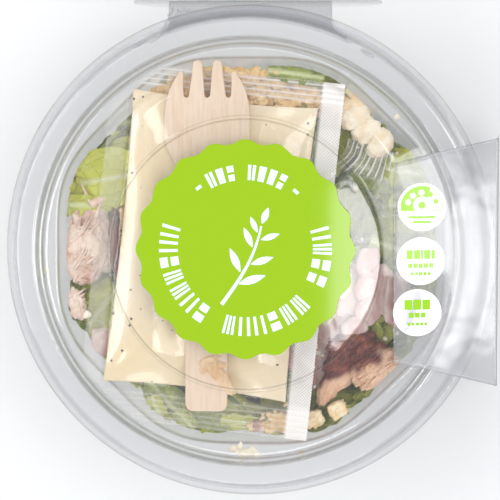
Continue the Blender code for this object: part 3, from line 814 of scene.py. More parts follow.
class SALAD_OT_round_label(bpy.types.Operator):
    """Stick the scalloped green label on the lid, with plain pale marks"""
    bl_idname = "salad.round_label"
    bl_label = "Round label"

    def execute(self, context):
        pack = context.scene.salad_pack
        low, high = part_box("label_round")
        centre = ((low.x + high.x) / 2, (low.y + high.y) / 2)
        depth = 0.9 * MM
        radius = (high.x - low.x) / 2 - depth
        bm = prism(round_label_outline(radius, 20, depth, centre), low.z, high.z, bevel=0.05 * MM)
        finish_piece("label_face", bm, paper_material("label_green", pack.label_green, 0.85),
                     ["label_round"], sharp_deg=12)
        self.add_marks(pack, centre, high.z)
        return {"FINISHED"}

    def add_marks(self, pack, centre, z):
        """Blocks round the edge and a leafy sprig in the middle, as plain printed shapes."""
        bm = bmesh.new()
        low, high = z + 0.01 * MM, z + 0.05 * MM
        radius = 29.4 * MM

        def block(tall, angle, width, share=1.0, rise=0.0):
            arc = arc_points(centre, radius + rise * tall, angle + width / 2, angle - width / 2, 5)
            stroke(bm, arc, [tall * share] * 5, low, high)

        def ring_blocks(tall, start, end, count, gaps):
            """Groups of plain bars from one angle to another, with gaps between the groups."""
            step = (start - end) / count
            for k in range(count):
                if k in gaps:
                    continue
                at = start - (k + 0.5) * step
                bar = math.degrees(1.15 * MM / radius)
                wide = step * 0.72
                kind = (k * 5 + k // 3) % 3
                if kind == 0:
                    block(tall, at - wide / 2 + bar / 2, bar)
                    block(tall, at + wide / 2 - bar / 2, bar)
                elif kind == 1:
                    block(tall, at, wide * 0.86, 0.42, 0.29)
                    block(tall, at, wide * 0.86, 0.42, -0.29)
                else:
                    for part in (-1, 0, 1):
                        block(tall, at + part * (wide - bar) / 2, bar * 0.8)

        ring_blocks(5.8 * MM, 120.0, 58.0, 8, (3,))
        for tip in (127.0, 49.0):
            block(5.8 * MM, tip, 4.6, 0.22)
        ring_blocks(7.2 * MM, 378.0, 161.0, 19, (4, 11))

        def leaf(x, y, length, width, turn):
            a = math.radians(turn)
            run = [(centre[0] + (x + t * length * math.cos(a)) * MM,
                    centre[1] + (y + t * length * math.sin(a)) * MM)
                   for t in (0.0, 0.15, 0.35, 0.55, 0.75, 0.9, 1.0)]
            stroke(bm, run, [w * width * MM for w in (0.12, 0.55, 0.95, 1.0, 0.72, 0.35, 0.05)],
                   low, high)

        stem = [(lerp(-9.0, 4.5, t) + 3.2 * math.sin(t * 2.6), lerp(-21.0, 9.0, t))
                for t in (k / 16 for k in range(17))]
        stroke(bm, [(centre[0] + x * MM, centre[1] + y * MM) for x, y in stem],
               [lerp(1.5, 0.7, k / 16) * MM for k in range(17)], low, high)
        for k, (share, side) in enumerate(((0.25, 1), (0.38, -1), (0.52, 1), (0.66, -1), (0.80, 1),
                                           (0.90, -1))):
            x, y = stem[round(share * 16)]
            lean = 66.0 - side * 48.0
            gap = 1.5
            a = math.radians(lean)
            leaf(x + gap * math.cos(a), y + gap * math.sin(a), 10.5 - 0.8 * k, 3.1 - 0.2 * k, lean)
        leaf(stem[-1][0] + 0.3, stem[-1][1] + 1.0, 6.5, 2.6, 68.0)
        finish_piece("label_marks", bm, paper_material("label_pale", pack.print_pale, 0.4),
                     sharp_deg=12)


STRAP_START_X = 56.5 * MM
STRAP_CURVE = 1.2 * MM


def strap_width(x):
    """Lowest and highest y of the strap label, which flares towards the rim."""
    t = (x - 75 * MM) / (18 * MM)
    return -45.4 * MM - 4.0 * MM * t, 39.6 * MM + 4.3 * MM * t


def over_lid(radius):
    """Height of a film that lies on the lid's dome and rim and bridges its groove."""
    knots = [(0.0, 66.0), (51.3, 66.0), (52.5, 64.6), (67.0, 61.9), (79.0, 57.5), (90.0, 57.5),
             (120.0, 57.0)]
    r = radius / MM
    for (r0, z0), (r1, z1) in zip(knots, knots[1:]):
        if r <= r1:
            return lerp(z0, z1, (r - r0) / (r1 - r0)) * MM
    return knots[-1][1] * MM


class SALAD_OT_strap_label(bpy.types.Operator):
    """Lay the clear strap label over the rim and put its three round badges on it"""
    bl_idname = "salad.strap_label"
    bl_label = "Strap label"

    def execute(self, context):
        low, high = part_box("label_strap")
        fold_x = high.x - 0.3 * MM
        bend = 6
        top_rows, side_rows = 26, 16
        across = 40
        rows = top_rows + bend + side_rows
        bm = bmesh.new()
        bmesh.ops.create_grid(bm, x_segments=rows, y_segments=across, size=0.5)
        edge_z = over_lid(fold_x) + STRAP_GAP
        for v in bm.verts:
            i = round((v.co.x + 0.5) * rows)
            t = v.co.y + 0.5
            if i <= top_rows:
                x = lerp(STRAP_START_X, fold_x - STRAP_CURVE, i / top_rows)
                span = strap_width(x)
                y = lerp(span[0], span[1], t)
                z = over_lid(math.hypot(x, y)) + STRAP_GAP
            else:
                span = strap_width(fold_x)
                y = lerp(span[0], span[1], t)
                turn = min(1.0, (i - top_rows) / bend) * math.pi / 2
                x = fold_x - STRAP_CURVE + STRAP_CURVE * math.sin(turn)
                z = edge_z - STRAP_CURVE + STRAP_CURVE * math.cos(turn)
                if i > top_rows + bend:
                    down = (i - top_rows - bend) / side_rows
                    z = lerp(edge_z - STRAP_CURVE, low.z, down)
                    x -= 0.4 * MM * math.sin(down * 5.0) * (0.4 + 0.6 * t)
            z += 0.10 * MM * noise.noise(Vector((x * 60, y * 60, 3.0)))
            v.co = Vector((x, y, z))
        strap = finish_piece("strap_film", bm, label_film_material(),
                             ["label_strap"], recalc=False)
        wall = strap.modifiers.new("film", "SOLIDIFY")
        wall.thickness = 0.12 * MM
        wall.offset = 0.0
        self.add_badges()
        return {"FINISHED"}

    def add_badges(self):
        """White discs with green bars, as flat printed shapes draped on the strap."""
        white, green = bmesh.new(), bmesh.new()
        places = ((66.9, 18.4), (66.6, -2.1), (65.4, -21.8))
        radius = BADGE_RADIUS
        for k, (x, y) in enumerate(places):
            centre = (x * MM, y * MM)
            disc(white, centre, radius, 0.0, 0.05 * MM)
            if k == 0:
                self.dial(white, green, centre, radius)
            else:
                self.bars(green, centre, k)
        for bm, name, colour in ((white, "badge_discs", (0.90, 0.91, 0.93)),
                                 (green, "badge_marks", (0.30, 0.60, 0.012))):
            bmesh.ops.triangulate(bm, faces=bm.faces)
            bmesh.ops.subdivide_edges(bm, edges=[e for e in bm.edges if e.calc_length() > 2 * MM],
                                      cuts=3, use_grid_fill=False)
            bmesh.ops.triangulate(bm, faces=bm.faces)
            for v in bm.verts:
                v.co.z += over_lid(math.hypot(v.co.x, v.co.y)) + 0.53 * MM
            finish_piece(name, bm, paper_material(name, colour))

    def dial(self, white, green, centre, radius):
        """A half-filled dial: a green sector, plain dots and a white hub."""
        low, high = 0.06 * MM, 0.09 * MM
        top = centre[1] - 0.16 * radius
        sector = [(centre[0] - 0.86 * radius, top)]
        sector += [p for p in arc_points(centre, 0.88 * radius, 172, 66, 16) if p[1] > top]
        sector += [(centre[0] + 0.10 * radius, top)]
        raise_outline(green, sector, low, high)
        outline = arc_points(centre, 0.86 * radius, 64, -8, 14)
        stroke(green, outline, [0.25 * MM] * 14, low, high)
        stroke(green, [(centre[0] + 0.1 * radius, top), (centre[0] + 0.84 * radius, top)],
               [0.25 * MM] * 2, low, high)
        for angle in (160, 128, 92):
            spot = arc_points(centre, 0.60 * radius, angle, angle + 1, 2)[0]
            disc(white, spot, 0.14 * radius, high, high + 0.03 * MM, 5)
        for angle in (56, 22):
            spot = arc_points(centre, 0.62 * radius, angle, angle + 1, 2)[0]
            disc(green, spot, 0.12 * radius, low, high, 5)
        disc(white, (centre[0], centre[1] + 0.08 * radius), 0.36 * radius, high, high + 0.03 * MM, 32)
        disc(green, (centre[0], centre[1] + 0.08 * radius), 0.15 * radius, high + 0.03 * MM,
             high + 0.06 * MM, 20)
        for row, half in ((-0.42, 0.55), (-0.62, 0.38)):
            y = centre[1] + row * radius
            stroke(green, [(centre[0] - half * radius, y), (centre[0] + half * radius, y)],
                   [0.85 * MM] * 2, low, high)

    def bars(self, green, centre, k):
        """Three rows of plain blocks, from tall to thin."""
        low, high = 0.06 * MM, 0.09 * MM
        rows = ((0.28, 3.4, (2.3, 2.3, 0.7, 2.3, 1.2)), (-0.18, 1.7, (1.5, 1.6, 1.4, 1.6, 1.5)),
                (-0.52, 1.1, (1.2, 1.0, 1.3, 1.1, 1.0))) if k == 1 else (
                (0.34, 3.8, (2.9, 2.9, 2.9)), (-0.10, 1.9, (1.8, 1.8, 1.7)),
                (-0.48, 1.1, (1.2, 1.0, 1.3, 1.1, 1.0)))
        for share, tall, blocks in rows:
            total = sum(blocks) + 0.45 * (len(blocks) - 1)
            x = centre[0] - total / 2 * MM
            y = centre[1] + share * BADGE_RADIUS
            for wide in blocks:
                mid = x + wide / 2 * MM
                stroke(green, [(mid, y - tall / 2 * MM), (mid, y + tall / 2 * MM)],
                       [wide * MM] * 2, low, high)
                x += (wide + 0.45) * MM


# ---------------------------------------------------------------- fork

FORK_X = -15.6 * MM
FORK_END_Y = -61.2 * MM
FORK_END_Z = 58.4 * MM
FORK_TILT_DEG = 2.4
FORK_LENGTH = 135.0 * MM
FORK_THICK = 1.6 * MM


def fork_floor(y):
    """Height of the fork's underside along the pack."""
    return FORK_END_Z - math.tan(math.radians(FORK_TILT_DEG)) * (y - FORK_END_Y)


def fork_outline():
    """Right half first, then its mirror: handle, shoulder, outer tine, slots, inner tines."""
    handle, head = 8.1 * MM, 16.5 * MM
    length = FORK_LENGTH
    right = [(handle - 3.0 * MM * (1 - math.sin(t)), 3.0 * MM * (1 - math.cos(t)))
             for t in (math.pi / 2 * k / 6 for k in range(7))]
    for i in range(1, 15):
        t = i / 14
        right.append((lerp(handle, head, smooth_step(0, 1, t)), length - lerp(50, 29, t) * MM))
    for t in (0.25, 0.5, 0.7, 0.85, 0.95):
        right.append((head - 5.4 * MM * t ** 3.2, length - lerp(27.0, 5.2, t) * MM))
    for angle in range(20, 181, 20):
        a = math.radians(angle)
        right.append((10.35 * MM + 1.05 * MM * math.cos(a), length - 5.4 * MM + 1.2 * MM * math.sin(a)))
    right.append((9.35 * MM, length - 10.0 * MM))
    for angle in range(0, 181, 30):
        a = math.radians(angle)
        right.append((8.1 * MM + 1.05 * MM * math.cos(a), length - 13.2 * MM - 1.1 * MM * math.sin(a)))
    right.append((5.9 * MM, length - 5.0 * MM))
    for angle in range(0, 181, 20):
        a = math.radians(angle)
        right.append((3.85 * MM + 1.75 * MM * math.cos(a), length - 1.8 * MM + 1.8 * MM * math.sin(a)))
    right.append((1.75 * MM, length - 5.0 * MM))
    for angle in (0, 30, 60):
        a = math.radians(angle)
        right.append((1.1 * MM * math.cos(a), length - 13.2 * MM - 1.1 * MM * math.sin(a)))
    floor = [(0.0, length - 14.35 * MM)]
    return right + floor + [(-x, y) for x, y in reversed(right)]


class SALAD_OT_fork(bpy.types.Operator):
    """Lay the pressed wooden fork on the dressing sachet"""
    bl_idname = "salad.fork"
    bl_label = "Wooden fork"

    def execute(self, context):
        bm = prism(fork_outline(), 0.0, FORK_THICK, bevel=0.3 * MM)
        place = Matrix.Translation((FORK_X, FORK_END_Y, FORK_END_Z))
        bmesh.ops.transform(bm, matrix=place @ Matrix.Rotation(math.radians(-FORK_TILT_DEG), 4, "X"),
                            verts=bm.verts)
        finish_piece("fork_wood", bm, birch_material(), ["fork"], sharp_deg=25)
        self.add_smear()
        return {"FINISHED"}

    def add_smear(self):
        """Sticky shreds of roast skin on the handle."""
        rng = random.Random(3)
        bm = bmesh.new()
        top = FORK_THICK + 0.1 * MM
        # x, y, half length, half width, turn
        places = ((-11.5, -46.0, 5.2, 2.6, -40), (-14.5, -41.5, 4.2, 1.6, 20),
                  (-8.0, -50.5, 4.6, 1.8, -55), (-16.5, -44.5, 2.6, 1.4, 70),
                  (-10.2, -43.0, 3.0, 1.2, -10))
        for x, y, length, width, turn in places:
            shred = bmesh.new()
            bmesh.ops.create_icosphere(shred, subdivisions=4, radius=1.0)
            for v in shred.verts:
                v.co *= 1.0 + 0.45 * noise.noise(v.co * 2.3 + Vector((x, y, 0)))
            place = (Matrix.Translation((x * MM, y * MM, fork_floor(y * MM) + top))
                     @ Matrix.Rotation(math.radians(turn), 4, "Z")
                     @ Matrix.Diagonal((length * MM, width * MM, 0.55 * MM, 1.0)))
            bmesh.ops.transform(shred, matrix=place, verts=shred.verts)
            merge(bm, shred)
        paint(bm, "tone", lambda p: 0.25 + 0.5 * rng.random()
              * smooth_step(-0.2, 0.4, noise.noise(p * 500)))
        finish_piece("fork_shreds", bm, chicken_material("skin_shreds", 0.30, (0.94, 0.64, 0.28)))


# ---------------------------------------------------------------- sachet and bag

def film_height(x, y, height):
    """Height of a film's middle surface, bent up over the ledge where it reaches that far."""
    radius = math.hypot(x, y)
    over_ledge = bpy.context.scene.salad_pack.ledge_z + 1.4 * MM
    return max(height, over_ledge - 1.2 * max(0.0, 72.6 * MM - radius))


def pillow(columns, rows, shape):
    """A closed pillow: shape(u, v) gives a plan place, its middle height and half thickness."""
    bm = bmesh.new()
    bmesh.ops.create_grid(bm, x_segments=columns, y_segments=rows, size=1.0)
    top = list(bm.verts)
    faces = list(bm.faces)
    twin = bmesh.ops.duplicate(bm, geom=top + list(bm.edges) + faces)
    under = [g for g in twin["geom"] if isinstance(g, bmesh.types.BMVert)]
    turned = [g for g in twin["geom"] if isinstance(g, bmesh.types.BMFace)]
    bmesh.ops.reverse_faces(bm, faces=turned)
    for verts, side in ((top, 1), (under, -1)):
        for v in verts:
            x, y, middle, half = shape(v.co.x, v.co.y)
            v.co = Vector((x, y, middle + side * half))
    rims = [e for e in bm.edges if e.is_boundary]
    bmesh.ops.bridge_loops(bm, edges=rims)
    return bm


def film_sheet(name, columns, rows, shape, mat, replaced=()):
    """A single film: shape(u, v) gives its place and how far it is welded seal."""
    bm = bmesh.new()
    bmesh.ops.create_grid(bm, x_segments=columns, y_segments=rows, size=1.0)
    seal = bm.verts.layers.float.new("seal")
    crimp = bm.verts.layers.float.new("crimp")
    uv = bm.loops.layers.uv.new("film")
    flat = {}
    for v in bm.verts:
        place, welded, ribbed, own = shape(v.co.x, v.co.y)
        v.co = place
        v[seal] = welded
        v[crimp] = ribbed
        flat[v] = own
    for face in bm.faces:
        for loop in face.loops:
            loop[uv].uv = flat[loop.vert]
    finish_piece(name, bm, mat, replaced, recalc=False, sharp_deg=180)


SACHET_TURN = math.radians(-6.0)
FILL_CENTRE = Vector((-15.0 * MM, 2.5 * MM))
FILL_HALF = Vector((35.8 * MM, 57.0 * MM))
FILM_CENTRE = Vector((-14.8 * MM, 0.6 * MM))
FILM_HALF = Vector((45.0 * MM, 69.0 * MM))


def turned(x, y, angle):
    return Vector((x * math.cos(angle) - y * math.sin(angle),
                   x * math.sin(angle) + y * math.cos(angle)))


def sachet_heights(x, y):
    """Middle height and half thickness that the dressing would have with no edges."""
    half = lerp(8.2, 16.6, smooth_step(18, 36, y / MM)) * MM
    beside = abs(x - FORK_X) - half
    full, dented = 4.8 * MM, 2.6 * MM
    bulge = dented + (full - dented) * smooth_step(0.5 * MM, 13.0 * MM, beside)
    return fork_floor(y) - 0.8 * MM - 2.7 * MM, bulge


def fill_edges(local):
    """How inflated the dressing is at a place in its own rectangle: 0 at the welds, 1 inside."""
    u, v = abs(local.x) / FILL_HALF.x, abs(local.y) / FILL_HALF.y
    rise_u = 1 - smooth_step(0.0, 1.0, (u - 0.60) / 0.40) if u > 0.6 else 1.0
    rise_v = 1 - smooth_step(0.0, 1.0, (v - 0.74) / 0.26) if v > 0.74 else 1.0
    return math.sqrt(max(0.0, rise_u)) * math.sqrt(max(0.0, rise_v))


def fill_crease(local):
    """Small creases that run into the sachet's corners, and soft waves along its sides."""
    total = 0.0
    for sx in (-1, 1):
        for sy in (-1, 1):
            away = Vector((FILL_HALF.x * sx, FILL_HALF.y * sy)) - local
            angle = math.atan2(away.y * sy, away.x * sx)
            fade = math.exp(-away.length / (15 * MM))
            total += fade * math.sin(angle * 13.0 + 2.0 * sx + sy)
    wave = noise.noise(Vector((local.x * 60, local.y * 34, 0.4)))
    return 0.30 * MM * total + 0.35 * MM * wave


def sachet_point(local):
    """Plan place, middle height and half thickness of the dressing at a place of its own."""
    pull_u = 1.0 - 0.035 * (1 - (local.y / FILL_HALF.y) ** 2)
    pull_v = 1.0 - 0.028 * (1 - (local.x / FILL_HALF.x) ** 2)
    spot = turned(local.x * pull_u, local.y * pull_v, SACHET_TURN) + FILL_CENTRE
    middle, bulge = sachet_heights(spot.x, spot.y)
    inflated = fill_edges(local)
    half = 0.12 * MM + bulge * inflated
    return spot, film_height(spot.x, spot.y, middle), half, inflated


class SALAD_OT_sachet(bpy.types.Operator):
    """Make the dressing sachet: peppery cream inside a clear film with crimped ends"""
    bl_idname = "salad.sachet"
    bl_label = "Dressing sachet"

    def execute(self, context):
        def cream(u, v):
            local = Vector((u * FILL_HALF.x, v * FILL_HALF.y))
            spot, middle, half, inflated = sachet_point(local)
            lift = fill_crease(local) * min(1.0, inflated * 1.5)
            return spot.x, spot.y, middle + lift * 0.5, half + max(lift * 0.5, -half * 0.8)

        finish_piece("dressing_cream", pillow(96, 150, cream), dressing_material(),
                     ["dressing_sachet"], sharp_deg=180)

        def film(u, v):
            from_centre = Vector((u * FILM_HALF.x, v * FILM_HALF.y))
            spot = turned(from_centre.x, from_centre.y, SACHET_TURN) + FILM_CENTRE
            back = turned(spot.x - FILL_CENTRE.x, spot.y - FILL_CENTRE.y, -SACHET_TURN)
            beyond = max(abs(back.x) / FILL_HALF.x, abs(back.y) / FILL_HALF.y)
            inner = Vector((max(-FILL_HALF.x, min(FILL_HALF.x, back.x)),
                            max(-FILL_HALF.y, min(FILL_HALF.y, back.y))))
            _, middle, half, inflated = sachet_point(inner)
            lift = fill_crease(inner) * min(1.0, inflated * 1.5)
            welded = smooth_step(0.99, 1.03, beyond)
            height = middle + lift + half + 0.10 * MM
            reach = math.hypot(spot.x, spot.y)
            shrink = min(1.0, 78.6 * MM / max(reach, MM))
            spot = spot * shrink
            if welded > 0:
                flat, _ = sachet_heights(spot.x, spot.y)
                flat = film_height(spot.x, spot.y, flat)
                end = back.y / FILL_HALF.y
                ribs = smooth_step(1.01, 1.06, abs(end))
                wave = math.sin(back.y * math.tau / (2.1 * MM)
                                + 1.2 * noise.noise(Vector((back.x * 80, back.y * 30, 2))))
                buckle = noise.noise(Vector((back.x * 70, back.y * 70, 7.0)))
                flat += 0.26 * MM * wave * ribs + 0.5 * MM * buckle * welded
                height = lerp(height, max(flat, film_height(spot.x, spot.y, 0.0)), welded)
            side = smooth_step(1.01, 1.05, abs(back.x) / FILL_HALF.x)
            ends = smooth_step(1.01, 1.05, abs(back.y) / FILL_HALF.y)
            side *= lerp(0.22, 1.0, smooth_step(-20 * MM, 20 * MM, back.x))
            ends *= lerp(0.45, 1.0, smooth_step(-20 * MM, 20 * MM, back.y))
            return (Vector((spot.x, spot.y, height)), side, ends,
                    (from_centre.x, from_centre.y))

        film_sheet("sachet_film", 150, 230, film, bag_film_material("sachet_film"))
        return {"FINISHED"}


BAG_TURN = math.radians(-17.0)
BAG_CENTRE = Vector((28.0 * MM, -7.5 * MM))
BAG_HALF = Vector((16.5 * MM, 52.0 * MM))


def bag_top(x, u, v):
    """Height of the topping bag's upper film."""
    lean = (39.6 + 0.26 * (x / MM - 28.0)) * MM
    rise_u = math.sqrt(max(0.0, 1 - smooth_step(0.45, 0.92, abs(u))))
    rise_v = math.sqrt(max(0.0, 1 - smooth_step(0.62, 0.90, abs(v))))
    return lean + 4.4 * MM * rise_u * rise_v


class SALAD_OT_topping_bag(bpy.types.Operator):
    """Make the clear topping bag on the right, with crinkled film over pink toppings"""
    bl_idname = "salad.topping_bag"
    bl_label = "Topping bag"

    def execute(self, context):
        def film(u, v):
            gather = smooth_step(0.60, 0.92, v)
            local = Vector((u * BAG_HALF.x * (1 - 0.42 * gather) + 4.5 * MM * gather,
                            v * BAG_HALF.y))
            spot = turned(local.x, local.y, BAG_TURN) + BAG_CENTRE
            height = bag_top(spot.x, u, v) + 3.6 * MM * gather
            end = smooth_step(0.74, 0.80, v)
            pleat = math.sin(u * 30.0 + 2.0 * noise.noise(Vector((u * 3, v * 3, 1.0))))
            folds = noise.noise(Vector((local.x * 150, local.y * 26, 5.0)))
            crush = abs(noise.noise(Vector((local.x * 60 + local.y * 24, local.y * 40, 9.0))))
            height += 0.35 * MM * pleat * end + 0.75 * MM * folds + 1.6 * MM * crush * (1 - end)
            height = film_height(spot.x, spot.y, height)
            cloud = end * (0.18 + 0.82 * max(0.0, pleat) ** 2)
            return Vector((spot.x, spot.y, height)), cloud, 0.0, (local.x, local.y)

        film_sheet("topping_film", 70, 170, film, bag_film_material("topping_film", 0.05),
                   ["topping_bag"])
        self.add_contents()
        return {"FINISHED"}

    def add_contents(self):
        """Pieces of cured meat and pale bread that fill the bag."""
        rng = random.Random(21)
        bm = bmesh.new()
        for k in range(22):
            u, v = rng.uniform(-0.62, 0.66), rng.uniform(-0.70, 0.0)
            spot = turned(u * BAG_HALF.x, v * BAG_HALF.y, BAG_TURN) + BAG_CENTRE
            size = Vector((rng.uniform(6.0, 9.0), rng.uniform(8.0, 12.0), rng.uniform(1.1, 1.7))) * MM
            z = bag_top(spot.x, u, v) - size.z - 0.9 * MM
            add_lump(bm, (spot.x, spot.y, z), size, rng.uniform(-60, 60), k + 3.0, 4, 0.32,
                     tilt=rng.uniform(-14, 14))
        finish_piece("bag_pieces", bm, bacon_material("bag_meat", 0.20), sharp_deg=80)
        bm = bmesh.new()
        for k, (x, y, a, b, turn) in enumerate(((30.5, -24.0, 3.2, 9.0, -8), (25.0, -36.0, 3.0, 6.5, 12),
                                                (36.5, -14.0, 3.4, 6.0, -20))):
            z = bag_top(x * MM, 0.1, 0.0) - 2.2 * MM
            add_lump(bm, (x * MM, y * MM, z), (a * MM, b * MM, 1.9 * MM), turn, k + 71.0, 4, 0.2)
        finish_piece("bag_cheese", bm, cheese_material(), sharp_deg=80)


# ---------------------------------------------------------------- loose food

def add_lump(bm, centre, half, turn_deg, seed, detail, rough, tilt=0.0, boxy=0.0, fibre=0.0):
    """Add one uneven lump to a bmesh: rough swells it, boxy squares it and fibre combs it."""
    part = bmesh.new()
    bmesh.ops.create_icosphere(part, subdivisions=detail, radius=1.0)
    drift = Vector((seed * 7.3, seed * 3.1, seed * 5.7))
    for v in part.verts:
        p = v.co.copy()
        if boxy:
            big = max(abs(p.x), abs(p.y), abs(p.z))
            p = p.lerp(p / big * 0.86, boxy)
        push = noise.noise(p * 1.4 + drift) + 0.5 * noise.noise(p * 3.1 + drift)
        p *= 1.0 + rough * push
        if fibre:
            strand = noise.noise(Vector((p.x * 2.2, p.y * 11.0, p.z * 11.0)) + drift)
            tear = noise.noise(Vector((p.x * 4.5, p.y * 5.5, p.z * 5.5)) + drift)
            p *= 1.0 + fibre * (strand + 0.8 * tear)
        v.co = p
    place = (Matrix.Translation(centre) @ Matrix.Rotation(math.radians(turn_deg), 4, "Z")
             @ Matrix.Rotation(math.radians(tilt), 4, "X") @ Matrix.Diagonal((*half, 1.0)))
    bmesh.ops.transform(part, matrix=place, verts=part.verts)
    for v in part.verts:
        hold_inside(v.co)
    merge(bm, part)


def node_place(node):
    low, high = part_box(node)
    return (low + high) / 2, (high - low) / 2


def add_strand(bm, start, end, thick, seed):
    """One torn fibre: a thin tapering spindle between two points."""
    run = Vector(end) - Vector(start)
    part = bmesh.new()
    bmesh.ops.create_cone(part, cap_ends=True, segments=8, radius1=thick, radius2=thick * 0.25,
                          depth=run.length)
    bmesh.ops.subdivide_edges(part, edges=[e for e in part.edges if e.calc_length() > run.length / 2],
                              cuts=5)
    place = (Matrix.Translation((Vector(start) + Vector(end)) / 2)
             @ run.to_track_quat("Z", "X").to_matrix().to_4x4())
    bmesh.ops.transform(part, matrix=place, verts=part.verts)
    for v in part.verts:
        v.co += 0.5 * MM * noise.noise_vector(v.co * 220 + Vector((seed, 0, 0)))
        hold_inside(v.co)
    merge(bm, part)


def lay_strands(bm, rng, count, centre, half, turn_deg, swing, length, thick):
    """Lay torn fibres over the top of the lumps already in a bmesh, along a common run."""
    tree = BVHTree.FromBMesh(bm)
    placed = 0
    for _ in range(count * 6):
        if placed == count:
            break
        x = centre.x + rng.uniform(-0.95, 0.95) * half.x
        y = centre.y + rng.uniform(-0.95, 0.95) * half.y
        a = math.radians(turn_deg + rng.uniform(-swing, swing))
        reach = rng.uniform(0.6, 1.0) * length
        ends = []
        for side in (-0.5, 0.5):
            spot = Vector((x + side * reach * math.cos(a), y + side * reach * math.sin(a), 0.08))
            hit = tree.ray_cast(spot, Vector((0, 0, -1)))[0]
            if hit is not None:
                ends.append(hit)
        if len(ends) == 2 and abs(ends[0].z - ends[1].z) < 0.6 * reach:
            lift = Vector((0, 0, 0.15 * thick))
            add_strand(bm, ends[0] + lift, ends[1] + lift, thick * rng.uniform(0.6, 1.2), placed)
            placed += 1


class SALAD_OT_chicken(bpy.types.Operator):
    """Tear the roast chicken pieces and lay them on the salad"""
    bl_idname = "salad.chicken"
    bl_label = "Chicken"

    def execute(self, context):
        pale = chicken_material("chicken_pale", 0.25)
        roast = chicken_material("chicken_roast", 1.0, (0.76, 0.39, 0.17))
        self.left(pale)
        self.tail(pale)
        self.right(roast)
        return {"FINISHED"}

    def store(self, name, bm, mat, node, browned):
        paint(bm, "tone", browned)
        finish_piece(name, bm, mat, [node], sharp_deg=180)

    def left(self, mat):
        centre, half = node_place("chicken_left")
        rng = random.Random(31)
        half.x *= 1.22
        bm = bmesh.new()
        parts = ((-0.05, -0.15, 0.0, 0.95, 0.60, 0.90, 8), (0.10, 0.34, -0.1, 0.66, 0.46, 0.8, 24),
                 (-0.20, -0.55, 0.05, 0.66, 0.34, 0.7, -18), (0.40, 0.66, 0.0, 0.34, 0.30, 0.5, -35),
                 (0.55, -0.10, -0.1, 0.42, 0.52, 0.7, 4))
        for k, (x, y, z, a, b, c, turn) in enumerate(parts):
            spot = centre + Vector((x * half.x, y * half.y, z * half.z))
            add_lump(bm, spot, (half.x * a, half.y * b, half.z * c), turn, 2.0 + k, 5, 0.24, fibre=0.09)
        lay_strands(bm, rng, 26, centre, half, 62.0, 24.0, 11.0 * MM, 0.9 * MM)
        lay_strands(bm, rng, 16, centre, half, 20.0, 30.0, 7.0 * MM, 0.8 * MM)
        arm = centre + Vector((0.15 * half.x, 0.78 * half.y, 0.35 * half.z))
        for k, (dx, dy, thick) in enumerate(((10.0, 5.0, 1.9), (7.0, 5.5, 1.3), (-4.0, 8.0, 0.9))):
            add_strand(bm, arm, arm + Vector((dx * MM, dy * MM, 0.5 * MM)), thick * MM, 31 + k)
        self.store("chicken_left_meat", bm, mat, "chicken_left",
                   lambda p: smooth_step(0.15, 0.5, noise.noise(p * 130)))
        skin = bmesh.new()
        edge = centre + Vector((1.05 * half.x, 0.0, 0.45 * half.z))
        add_lump(skin, edge, (1.5 * MM, 13.0 * MM, 1.6 * MM), 3, 9.0, 4, 0.25, fibre=0.1)
        paint(skin, "tone", lambda p: 1.0)
        finish_piece("chicken_skin", skin, chicken_material("skin_red", 0.92),
                     sharp_deg=180)

    def tail(self, mat):
        centre, half = node_place("chicken_tail")
        bm = bmesh.new()
        add_lump(bm, centre, tuple(half * 0.95), 10, 6.0, 5, 0.25, fibre=0.09)
        for k in range(5):
            start = centre + Vector((0, (0.6 - 0.3 * k) * half.y, 0.5 * half.z))
            add_strand(bm, start, start + Vector((3.5 * MM, 2.5 * MM, 0)), 0.7 * MM, 40 + k)
        self.store("chicken_tail_meat", bm, mat, "chicken_tail",
                   lambda p: 0.6 * smooth_step(0.0, 0.5, noise.noise(p * 160)))

    def right(self, mat):
        centre, half = node_place("chicken_right")
        rng = random.Random(32)
        bm = bmesh.new()
        along = Vector((math.cos(math.radians(42)), math.sin(math.radians(42)), 0))
        across = Vector((-along.y, along.x, 0))
        rows = ((-0.75, 0.60, 0.55), (-0.38, 0.85, 0.85), (0.0, 0.95, 1.0), (0.36, 0.85, 0.85),
                (0.70, 0.60, 0.6))
        for k, (aside, long, tall) in enumerate(rows):
            spot = centre + across * aside * half.x * 0.95 - Vector((0, 0, (1 - tall) * half.z * 0.5))
            add_lump(bm, spot, (half.x * 1.12 * long, half.x * 0.40, half.z * tall), 42 + 5 * (k - 2),
                     3.0 + k, 5, 0.20, fibre=0.08)
        lay_strands(bm, rng, 60, centre, half, 42.0, 16.0, 9.0 * MM, 0.9 * MM)

        # place from the middle, half length, half width, turn
        torn = ((-13.0, 3.0, 8.5, 5.0, 62), (-12.5, -4.0, 9.0, 4.2, 50), (-17.5, -8.5, 7.5, 3.6, 64),
                (-9.0, 9.5, 9.5, 4.0, 20))
        for k, (dx, dy, a, b, turn) in enumerate(torn):
            spot = centre + Vector((dx * MM, dy * MM, -0.35 * half.z))
            add_lump(bm, spot, (a * MM, b * MM, 0.62 * half.z), turn, 61.0 + k, 5, 0.22, fibre=0.09)

        def browned(p):
            local = p - centre
            upper_left = (local.dot(across) + 0.35 * min(0.0, local.dot(along))) / half.x
            return smooth_step(-0.12, 0.34, upper_left + 0.45 * noise.noise(p * 190))

        self.store("chicken_right_meat", bm, mat, "chicken_right", browned)


